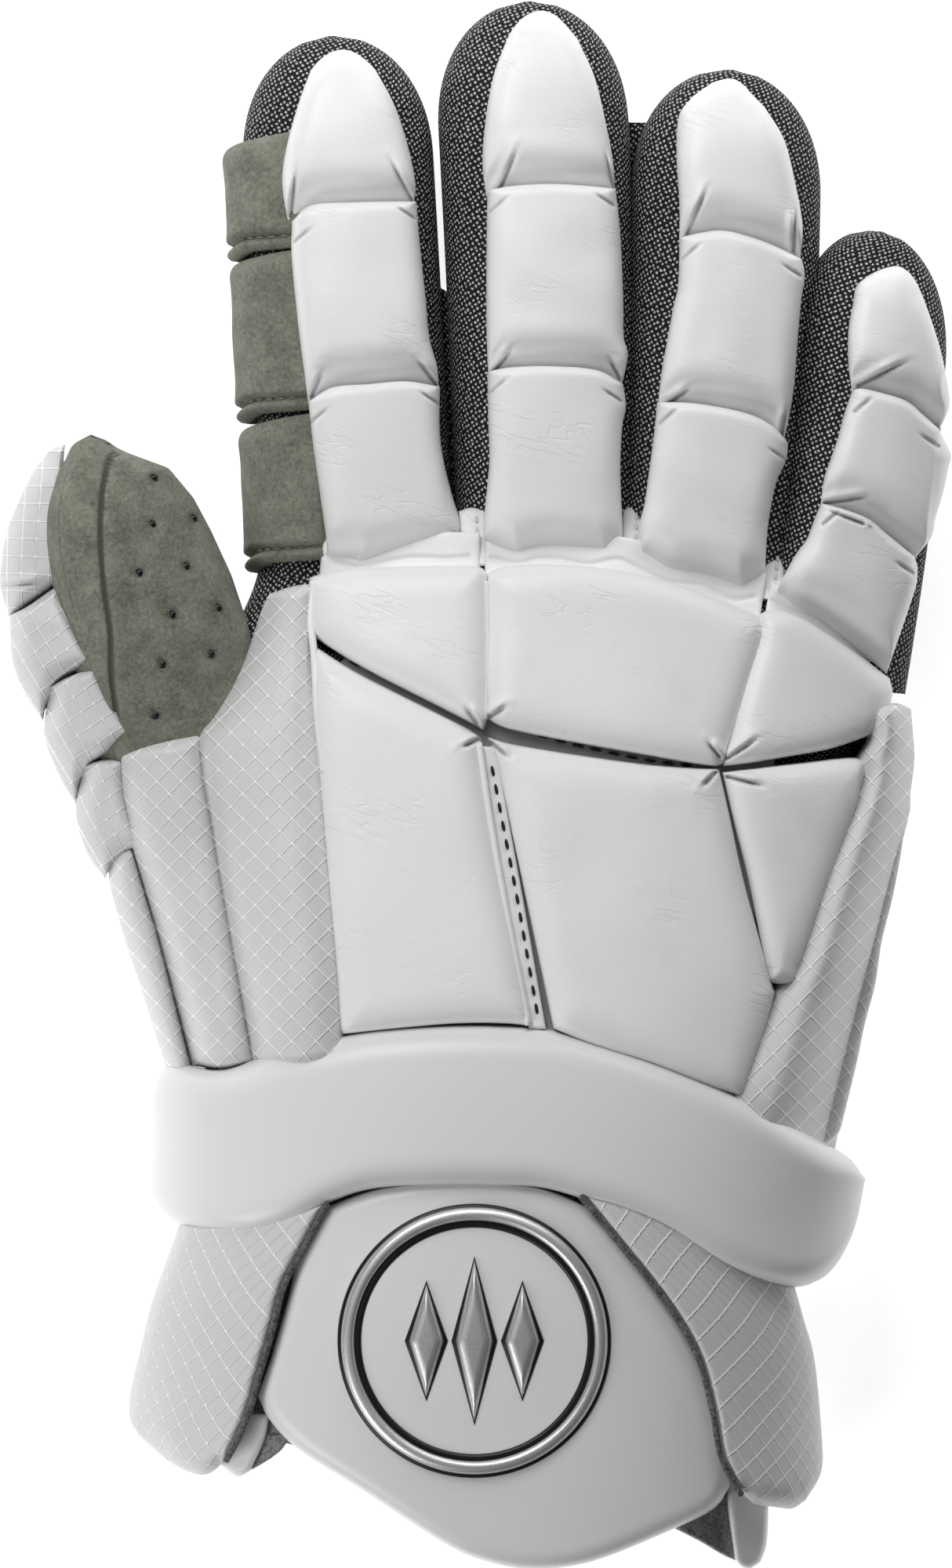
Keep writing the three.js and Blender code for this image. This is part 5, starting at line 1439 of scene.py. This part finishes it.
# %% Wings of the cuff
WINGS = {
    "cuff_wing_thumb": outline(
        [(-62.6, -93.2), (-56.4, -93.8), (-44.8, -92.7), (-32.4, -89.2)],
        [(-37.2, -98.3), (-41.6, -106.7), (-43.9, -115.5), (-46.8, -125.5), (-48.6, -132.2),
         (-51.2, -138.8)],
        [(-71.4, -138.7), (-65.6, -143.7), (-60.1, -146.3), (-56.8, -146.2), (-53.9, -143.8)],
        [(-65.6, -101.5), (-68.8, -110.5), (-71.2, -120.2), (-73.4, -129.7), (-73.4, -135.2)]),
    "cuff_wing_little": outline(
        [(22.5, -87.5), (34, -90.5), (53.6, -100.0), (67.1, -107.2)],
        [(69.1, -114.3), (71.4, -122.8), (72.9, -138.3), (72.8, -146.2)],
        [(56.6, -151.0), (58.9, -152.8), (62.8, -153.5), (66.6, -154.0), (69.4, -152.2)],
        [(30.8, -97.6), (37.4, -105.8), (43.6, -114.5), (47.8, -122.8), (50.6, -133.5),
         (52.4, -143.0)]),
}
WING_LIFT, WING_DEPTH = 10, 30
BINDING_RADIUS, BINDING_DROP = 0.7, 1.3  # the tape lies so far below the wing's top
WING_FLOOR = 12.0  # its outer wall goes down beside the cuff's lining to this height


def wing_seat(x, y, u, v):
    """Underside of a wing: the back of the hand, or the floor beside it."""
    return np.maximum(WING_FLOOR, back_height(x, y, 0.3))


for number, (name, edges) in enumerate(WINGS.items()):
    place, size = plan_patch(edges, wing_seat, on_back(WING_LIFT), spread=0.3)
    inner = "right" if "thumb" in name else "left"
    radii = (3.5, 2.2, 2, 6) if inner == "right" else (2.2, 3.5, 2, 6)
    piece = padded_skin(name + "_skin", place, WING_DEPTH, NET_LEATHER, size, step=0.6,
                        radii=radii, girth=(0.6, 0.6, 0.6, 0.5), tuck=1.5, blend=3.2,
                        uneven=(0.35, 22), seed=85 + number, flat_by_arc=True)
    declare(piece, [name])
    side = 1 if inner == "right" else -1
    edge = curve_through(edges[inner], 70) + (BINDING_RADIUS * side, 0)
    height = back_height(edge[:, 0], edge[:, 1], WING_LIFT) - BINDING_DROP
    declare(swept(name + "_binding", [np.column_stack([edge, height])], BINDING_RADIUS, BINDING,
                  sides=12))

# %% [markdown]
# At both ends of the cuff its moulded shell goes on past the plate as a small lobe, and the pale
# lining shows beside it. Both are thin patches, drawn in the plan and laid on the back's curve.

# %% Lobes at the end of the cuff
LOBES = {  # material, height over the hand and width of the rolled edge
    "cuff_lobe_thumb": outline(
        [(-52.1, -133.8), (-43.9, -133.8)],
        [(-45.1, -139.7)],
        [(-54.8, -144.5), (-52.6, -146.3), (-50.4, -147.2), (-48.1, -146.0)],
        [],
        kind=(RUBBER, 2.6, 2.0)),
    "cuff_lobe_little": outline(
        [(52.8, -145.5), (61.6, -150.5)],
        [(61.8, -155.5), (61.4, -161.8)],
        [(54.6, -164.7), (55.9, -166.3), (57.8, -166.8), (60.1, -165.5)],
        [(53.2, -154.7)],
        kind=(RUBBER, 2.6, 2.0)),
    "cuff_lobe_lining_thumb": outline(
        [(-51.4, -138.0), (-39.1, -138.0)],
        [(-41.4, -141.5)],
        [(-49.4, -146.2), (-47.2, -145.5), (-43.9, -143.5)],
        [],
        kind=(LINING, 0.6, 0.7)),
    "cuff_lobe_lining_little": outline(
        [(37.9, -153.0), (53.9, -149.7)],
        [(54.6, -157.2)],
        [(39.9, -157.2), (46.9, -160.8), (51.9, -163.8), (55.6, -165.5)],
        [],
        kind=(LINING, 0.6, 0.7)),
}
LOBE_THICKNESS = 3.0
for number, (name, edges) in enumerate(LOBES.items()):
    material, lift, roll = edges["kind"]
    place, size = plan_patch(edges, on_back(lift - LOBE_THICKNESS), on_back(lift))
    piece = padded_skin(name, place, LOBE_THICKNESS, material, size, step=0.45,
                        radii=(roll,) * 4, girth=(0.4,) * 4, tuck=0.4, blend=3,
                        uneven=(0.2, 9), seed=160 + number)
    declare(piece)

# %% [markdown]
# The thumb lies across the view with its suede face up, punched with ten vent holes, and its pads
# wrap the far side. It is one tube, parted at a seam round its side: the face above, the gusset
# below. The photograph's outline isn't quite a tube's, so rows of points are drawn in to meet it.

# %% Thumb
THUMB_SEAM = -0.12  # height of the seam in the thumb's frame, as a share of its height
BORDER = [(-87.6, 71.7), (-89.1, 63.2), (-89.8, 51.2), (-89.6, 42.2), (-86.8, 33.8),
          (-82.3, 25.3), (-72.9, 9.2), (-69, 0)]  # of the thumb's suede and its pads, in the plan
BORDER_HEIGHTS = (29, 33, 33.5, 34.5, 37.5, 39.5, 37.4, 34)
FACE_EDGE = [(-82.0, 75.2), (-79.0, 74.0), (-75.8, 71.4), (-65.8, 67), (-60.4, 60.5),
             (-56.8, 53.8), (-52.3, 44), (-48.8, 33.5), (-45, 20), (-40, 0)]  # towards the fingers
TIP_FROM, TIP_SQUEEZE = 66, 0.84  # beyond this y the thumb is shorter by this factor
FACE_SEAM = [(-75.8, 71), (-78.4, 67.7), (-79.8, 58.3), (-79.8, 49.3), (-78.9, 39.2),
             (-77.8, 31.5), (-77.6, 22.7), (-76.5, 14)]  # joins the two parts of the suede
VENTS = [(-68.8, 64.5), (-60.4, 56), (-69.1, 54.7), (-61.9, 45.8), (-71.8, 44.3), (-55.1, 37),
         (-64.8, 35.5), (-56.6, 27.2), (-66.9, 25), (-68.4, 14.2)]
VENT = 0.85  # radius of a punched hole


def thumb_sheet(name, face, rows=130, columns=120):
    """The suede of the thumb's face or of its back, and the grid of its outer side."""
    d = THUMB
    grids = ([], [])
    for along in stations(d, rows):
        tall = digit_section(d, along, 0.0)[1]
        share = min(0.98, abs(THUMB_SEAM * d["height"]) / tall)
        low = np.degrees(np.arcsin(share ** (DIGIT_ROUNDNESS / 2)))
        if face:
            spread = np.linspace(180 + low + 0.5, 360 - low - 0.5, columns)
        else:
            spread = np.linspace(-low + 0.5, 180 + low - 0.5, columns)
        for grid, depth in zip(grids, (0, WALL)):
            inner = min(along, d["length"] - depth - CLEAR) if depth else along
            grid.append(digit_point(d, np.full(columns, inner), spread, -depth, depth))
    outer, inner = (np.array(grid) for grid in grids)
    edge_x, edge_y = np.array(FACE_EDGE).T
    border_x, border_y = np.array(BORDER).T
    for grid in (outer, inner):
        for row in grid:
            far = row[row[:, 0].argmax()]
            start = np.interp(far[1], border_y[::-1], border_x[::-1])
            aim = np.interp(far[1], edge_y[::-1], edge_x[::-1])
            pull = np.clip((aim - start) / max(far[0] - start, 4.0), 0.1, 1.1)
            row[:, 0] = np.where(row[:, 0] > start, start + (row[:, 0] - start) * pull, row[:, 0])
            squeezed = TIP_FROM + (row[:, 1] - TIP_FROM) * TIP_SQUEEZE
            row[:, 1] = np.where(row[:, 1] > TIP_FROM, squeezed, row[:, 1])
    recess_shade = None
    if face:
        plan = outer.reshape(-1, 3)[:, :2]
        far = reach(plan, curve_through(FACE_SEAM, 40))[0].reshape(rows, columns)
        groove = np.exp(-(far / 0.4) ** 2)
        outer[..., 2] += -0.9 * groove + 0.5 * np.exp(-((far - 2.2) / 1.8) ** 2)
        # Painted shade along the seam's groove and round each vent's dimple.
        recess_shade = groove * 0.6
        for x, y in VENTS:
            near = np.exp(-(np.hypot(outer[..., 0] - x, outer[..., 1] - y) / (1.25 * VENT)) ** 2)
            outer[..., 2] -= 0.5 * near
            recess_shade = np.maximum(recess_shade, 0.25 * near)
        outer[..., 2] += 0.3 * ripple(outer[..., 0], outer[..., 1], 17, 8)
    return sheet_mesh(name, outer, inner, SUEDE, recess_shade), outer


face_piece, face_grid = thumb_sheet("thumb_suede_face", True)
declare(face_piece, ["thumb_face"])
declare(thumb_sheet("thumb_suede_back", False)[0], ["thumb_gusset"])


def height_on(grid, x, y):
    """Height of the nearest point of a grid to a point of the plan."""
    points = grid.reshape(-1, 3)
    return points[np.hypot(points[:, 0] - x, points[:, 1] - y).argmin(), 2]


# Each vent hole is a black disc sunk into the suede: painted shade of the hole's inside.
eyes = []
for x, y in VENTS:
    z = height_on(face_grid, x, y)
    eyes.append(np.array([[x, y, z - 0.6], [x + 0.02, y, z + 0.3]]))
declare(swept("thumb_vents", eyes, VENT, BLACK_PRINT_AND_HOLE_SHADE, sides=14))

# %% [markdown]
# Four pads guard the back of the thumb. They are drawn in the plan, where only their edge shows,
# and their lower walls go on under the thumb, as the real ones wrap it.

# %% Pads of the thumb
THUMB_PADS = {  # tip to root; turn is that of the net on the leather
    "thumb_pad_1": outline(
        [(-91.6, 69.6), (-89.8, 70.9), (-87.9, 71.6)],
        [(-88.6, 63.2), (-89.3, 51.2)],
        [(-99.4, 35.6), (-95, 38), (-89.1, 41.8)],
        [(-94.8, 65), (-98.8, 56.5), (-100.6, 50.3), (-101.3, 42.2)],
        folds=[((-90.5, 42.6), (-100.6, 41.6))], turn=45),
    "thumb_pad_2": outline(
        [(-99.2, 35.0), (-95, 37.4), (-89.4, 41.4)],
        [(-86.3, 33.8), (-81.9, 25.3)],
        [(-92.4, 13.2), (-91.4, 17.2), (-88, 21.5), (-81.6, 24.6)],
        [(-98.8, 26.2), (-96.1, 18.7)],
        folds=[((-83.2, 24.6), (-89.8, 20.6))], turn=12),
    "thumb_pad_3": outline(
        [(-90.6, 20.0), (-87, 22), (-81.4, 24.2)],
        [(-78.5, 19)],
        [(-85.2, -4.6), (-84.2, 0.5), (-82, 3.6), (-78, 5.4), (-73, 9.4)],
        [(-91.9, 12.5), (-91.6, 8), (-88.2, 0.2)],
        folds=[((-74.6, 8.0), (-81.4, 3.8))], turn=14),
    "thumb_pad_4": outline(
        [(-83.4, 2.9), (-81.4, 4), (-77.8, 4.6), (-75.6, 4.2)],
        [(-75, -4), (-72.6, -11.6)],
        [(-79.2, -20.2), (-77.2, -17), (-72.8, -14.6)],
        [(-85.2, -3.4), (-84.9, -9.2), (-82.8, -15.2)],
        folds=[((-73.6, -14.8), (-77.8, -17.2))], turn=14),
}
PAD_FLOOR = 1.0
THUMB_RISE, THUMB_CAMBER = 1.6, 0.024  # height over the suede's border, and fall away from it
UNDER_REACH = 26.0  # how far a pad goes on under the thumb


def thumb_crown(x, y, u, v):
    """Level with the suede at its border, and falling away from there."""
    border_x, border_y = np.array(BORDER).T
    start = np.interp(y, border_y[::-1], border_x[::-1])
    top = np.interp(y, (-20, *border_y[::-1]), (26, *BORDER_HEIGHTS[::-1]))
    return top + THUMB_RISE - THUMB_CAMBER * np.clip(start - x, 0, 30) ** 2


def under_reach(place):
    """Lets the lower part of a pad go on under the thumb, whose back it covers."""
    def wrapped(u, v, h):
        point = place(u, v, h)
        low = np.clip(1 - h * 1.6, 0, 1) ** 1.5 * np.clip(u * 1.4 - 0.2, 0, 1)
        low = low * UNDER_REACH * smooth((70 - point[..., 1]) / 30)
        point[..., 0] += low
        point[..., 1] += 0.25 * low
        return point
    return wrapped


THUMB_PAD = 30  # about what it is from the crown to the floor
for number, (name, edges) in enumerate(THUMB_PADS.items()):
    place, size = plan_patch(edges, lambda x, y, u, v: np.full(np.shape(x), PAD_FLOOR),
                             thumb_crown, spread=0.25)
    piece = padded_skin(name + "_skin", under_reach(place), THUMB_PAD, NET_LEATHER, size, step=0.45,
                        radii=(8, 2.2, 4 if number == 0 else 2.4, 5.5),
                        girth=(0.6, 0.85, 0.8, 0.55), tuck=0.8, blend=3.2,
                        folds=folded(edges["folds"], 1.3, 0.4, 0.7), uneven=(0.35, 12),
                        seed=100 + number, turn=edges["turn"])
    declare(piece, [name])

# %% [markdown]
# Three padded suede patches guard the index finger's thumb side. Each is hemmed: its end is folded
# under, held by a row of long stitches, and its corner stands off the finger like a small flap.

# %% Suede patches of the index finger
SIDE_PATCHES = {"index_side_patch_3": (0.095, 0.335),  # shares of the finger's length
                "index_side_patch_2": (0.355, 0.622), "index_side_patch_1": (0.637, 0.826)}
PATCH_ANGLES = (106, 212)  # from the back of the finger round to its underside
PATCH = 5  # mm of foam and suede
HEM = 3.0  # width of the hem below its row of stitches


def patch_place(start, end):
    """A patch on the index finger.

    Its lower corner stands off like a flap, and its upper end goes up towards the finger's back.
    """
    d = FINGERS["index"]

    def place(u, v, h):
        flap = np.clip((u - 0.45) / 0.3, 0, 1) * v ** 6
        along = mix(end * d["length"], start * d["length"], v) - 2.0 * flap
        along = along + 2.2 * np.clip(1 - v * 6, 0, 1) * (1 - np.clip(u * 1.6, 0, 1))
        return digit_point(d, along, mix(*PATCH_ANGLES, u), mix(SINK, PATCH, h) + 1.2 * flap, 1.0)
    return place


def hemmed(u, v, middle, away, height):
    """A dent along the row of stitches, and a thinner hem beyond it."""
    row = np.exp(-((away[3] - HEM) / 0.8) ** 2)
    hem = np.clip(1 - away[3] / HEM, 0, 1)
    return height - 0.42 * row * (1 - 0.3 * hem) - 0.2 * hem


patch_rows = []
for number, (name, (start, end)) in enumerate(SIDE_PATCHES.items()):
    place = patch_place(start, end)
    piece = padded_skin(name + "_skin", place, PATCH, SUEDE, piece_size(place), step=0.5,
                        radii=(5, 5, 4, 2), girth=(0.3, 0.3, 0.3, 0.5), tuck=0.8, blend=3.0,
                        shape=hemmed, uneven=(0.3, 9), seed=120 + number, flat_by_arc=True)
    declare(piece, [name])
    line = [place(u, 1 - HEM / piece_size(place)[1], 0.62) for u in np.linspace(0.1, 0.62, 12)]
    patch_rows += stitch_lines(np.array(line), 1.9, 1.0)
declare(swept("patch_stitches", patch_rows, 0.33, SUEDE, taper=True))

# %% [markdown]
# The band round the back of the wrist and the plate on the cuff are moulded in one piece each, so
# their rolls are even and their surface is smooth: the same padded skin, with no unevenness. The
# band's borders are known only from above, so each point looks up where it is in the plan.

# %% Wrist band and cuff plate
BAND_THICKNESS = 12
BAND = {  # upper and lower border of the band over the plan
    "x": (-76, -72, -68, -54, -42, -32, -24, -8, 5, 14, 24, 38, 55, 69, 76, 80, 83),
    "upper": (-69, -66, -61, -61, -57, -54.4, -52.8, -51.5, -51.5, -52.2, -54.5, -59, -66.4,
              -74.2, -78, -80, -83),
    "lower": (-80, -87, -92, -96, -94.7, -89.5, -86.5, -85.4, -85.5, -86, -88.8, -93.9, -103.8,
              -107.2, -103.8, -98, -90),
}


def band_place(u, v, h):
    """A point of the band, from the thumb's side round to the little finger's."""
    angle = mix(194, -20, u)
    flare = 6 * np.clip(np.cos(np.radians(angle)), 0, 1) ** 3
    end = np.clip(5 * np.sin(math.pi * u), 0, 1)
    lift = mix(SINK, (BAND_THICKNESS + flare) * mix(0.7, 1, end), h)
    y = np.full(np.shape(u), -68.0)
    for _ in range(4):
        x = hand_point(y, angle, lift)[..., 0]
        upper, lower = follow(BAND["x"], BAND["upper"], x), follow(BAND["x"], BAND["lower"], x)
        y = mix(upper, lower, v)
    point = hand_point(y, angle, lift)
    point[..., 1] = y
    return point


piece = padded_skin("wrist_band_skin", band_place, BAND_THICKNESS, RUBBER,
                    piece_size(band_place), step=0.9, radii=(8, 8, 7, 7), girth=(0.45,) * 4,
                    tuck=1.5, blend=2.6, uneven=(0.0, 30), seed=140)
declare(piece, ["wrist_band"])

PLATE = outline(
    [(-37.6, -92), (-20, -86), (-2, -84), (14, -86), (33, -95)],
    [(37.2, -103), (44.3, -114), (50, -128), (53, -142)],
    [(-46.4, -130), (-44, -135), (-37.9, -141.2), (-24, -150), (-7, -161), (1.4, -164.7),
     (11.5, -166.5), (24, -165), (39.5, -159), (50, -154), (53.6, -149)],
    [(-39, -105), (-43, -120)])
PLATE_THICKNESS = 7.0
place, size = plan_patch(PLATE, on_back(0.0), on_back(PLATE_THICKNESS))
piece = padded_skin("cuff_plate_skin", place, PLATE_THICKNESS, RUBBER, size, step=0.7,
                    radii=(3.5, 3.5, 3, 4), girth=(0.5,) * 4, tuck=1.0, blend=2.6,
                    uneven=(0.0, 30), seed=141)
declare(piece, ["cuff_plate"])

# %% [markdown]
# The badge is a plain satin ring with a black line on either side of it, and three bevelled
# lozenges within. All follow the plate's own curve, so a ring is laid out in the plan and lifted.

# %% Badge
BADGE_X, BADGE_Y, BADGE_RADIUS = -0.6, -118.2, 28.2
BADGE_SINK = -0.8  # a raised mark goes on this far into the plate
LOZENGES = {  # place across, half width and half height, as shares of the badge's radius
    "badge_mark_1": (-0.36, 0.13, 0.42), "badge_mark_2": (0, 0.14, 0.6),
    "badge_mark_3": (0.36, 0.13, 0.42),
}


def on_plate(x, y, lift):
    """Points over the plan, lifted off the plate."""
    return np.stack([x, y, back_height(x, y, PLATE_THICKNESS) + lift], -1)


def badge_ring(name, inner, outer, height, round_over, material, count=160, steps=14):
    """A ring on the plate, with an arched profile."""
    turn = np.linspace(0, 2 * math.pi, count, endpoint=False)[:, None]
    share = np.linspace(0, 1, steps)[None, :]
    radius = mix(inner, outer, share) + 0 * turn
    x, y = BADGE_X + radius * np.cos(turn), BADGE_Y + radius * np.sin(turn)
    arch = (1 - np.abs(2 * share - 1) ** round_over) ** (1 / round_over)
    ring = np.concatenate([on_plate(x, y, 0.05 + height * arch),
                           on_plate(x, y, BADGE_SINK)[:, ::-1]], axis=1)
    count, steps = ring.shape[:2]
    a, b = np.meshgrid(np.arange(count), np.arange(steps), indexing="ij")
    c, d = (a + 1) % count, (b + 1) % steps
    faces = np.stack([a * steps + b, a * steps + d, c * steps + d, c * steps + b], -1)
    points = ring.reshape(-1, 3)
    return mesh_object(name, points, [faces.reshape(-1, 4)], material, points[:, :2])


declare(badge_ring("badge_outline", 23.9, 28.95, 0.5, 6, BLACK_PRINT_AND_HOLE_SHADE))
declare(badge_ring("badge_satin_ring", 25.3, 28.3, 1.9, 2.4, SATIN_METAL),
        ["badge_ring"])


def lozenge(name, across, wide, tall, material, grow, height, bevel):
    """A lozenge on the plate: its border, a bevel and a flat top."""
    corners = np.array([[-wide, 0], [0, -tall], [wide, 0], [0, tall]]) * BADGE_RADIUS
    corners = corners * (1 + grow / np.array([wide, tall]) / BADGE_RADIUS)
    border = np.vstack([mix(corners[k], corners[(k + 1) % 4], t)
                        for k in range(4) for t in np.linspace(0, 1, 12, endpoint=False)])
    rings = []
    for inset, lift in ((1.0, BADGE_SINK), (1.0, height * 0.35), (1 - bevel, height),
                        (0.4, height * 1.03), (0.05, height * 1.04)):
        x, y = border.T * inset
        rings.append(on_plate(x + BADGE_X + across * BADGE_RADIUS, y + BADGE_Y, lift))
    count = len(border)
    faces = quads(len(rings), count, closed=True)
    last = (len(rings) - 1) * count
    caps = np.array([np.arange(count)[::-1], last + np.arange(count)])
    points = np.vstack(rings)
    return mesh_object(name, points, [faces, caps], material, points[:, :2])


for name, mark in LOZENGES.items():
    declare(lozenge(name + "_outline", *mark, BLACK_PRINT_AND_HOLE_SHADE, grow=0.9, height=0.5, bevel=0.1))
    declare(lozenge(name + "_face", *mark, SATIN_METAL, grow=0.0, height=1.5, bevel=0.28),
            [name])

# %% [markdown]
# Camera, light and floor. The photograph looks straight down on the back of the hand through a
# long lens. Its shadows are soft and fall towards the cuff, so the main light is a large disc
# over the fingertips on the thumb's side. A second one by the cuff fills the near sides of the
# pads, and a small one over the little finger's tip lights the far ends. White paper lies below.

# %% Stage
CAMERA_HEIGHT = 6.0  # metres; far enough that the pads hide almost nothing of each other
camera_data = bpy.data.cameras.new("camera")
camera_data.sensor_width = 36
camera_data.lens = 644.8  # takes in 335 mm at that height
camera_data.clip_end = 20
camera = bpy.data.objects.new("camera", camera_data)
camera.location = (-0.00025, -0.0005, CAMERA_HEIGHT)
bpy.context.scene.collection.objects.link(camera)
bpy.context.scene.camera = camera
TARGET = (0, 0, 0.02)  # the middle of the glove, in metres


def soft_light(name, power, size, place):
    """A disc of light that looks at the middle of the glove and doesn't show in the picture."""
    data = bpy.data.lights.new(name, "AREA")
    data.shape = "DISK"
    data.size = size
    data.energy = power
    lamp = bpy.data.objects.new(name, data)
    lamp.location = place
    lamp.visible_camera = False
    lamp.rotation_euler = (Vector(TARGET) - Vector(place)).to_track_quat("-Z", "Y").to_euler()
    bpy.context.scene.collection.objects.link(lamp)


soft_light("key", 1.7, 0.35, (-0.14, 0.36, 0.44))
soft_light("cuff", 1.15, 0.3, (-0.34, -0.34, 0.34))
soft_light("fingertips", 0.7, 0.25, (0.2, 0.46, 0.26))
world = bpy.data.worlds.new("studio")
bpy.context.scene.world = world
world.use_nodes = True
sky = world.node_tree.nodes["Background"].inputs
sky["Color"].default_value = (1, 1, 1, 1)
sky["Strength"].default_value = 0.07  # just enough to keep the grooves from going black
bpy.context.scene.view_settings.view_transform = "Standard"

FLOOR, FLOOR_Z = 3.0, -0.0002  # metres from the middle to an edge, and just under the glove
floor_mesh = bpy.data.meshes.new("floor")
floor_mesh.from_pydata([(x * FLOOR, y * FLOOR, FLOOR_Z)
                        for x, y in ((-1, -1), (1, -1), (1, 1), (-1, 1))], [], [(0, 1, 2, 3)])
paper, _, paper_shader = finish("matt_white_paper", "#F6F6F6", 0.9)
paper_shader.inputs["Emission Color"].default_value = (1, 1, 1, 1)
paper_shader.inputs["Emission Strength"].default_value = 0.76  # keeps the paper white
floor_mesh.materials.append(paper)
floor = bpy.data.objects.new("floor", floor_mesh)
bpy.context.scene.collection.objects.link(floor)
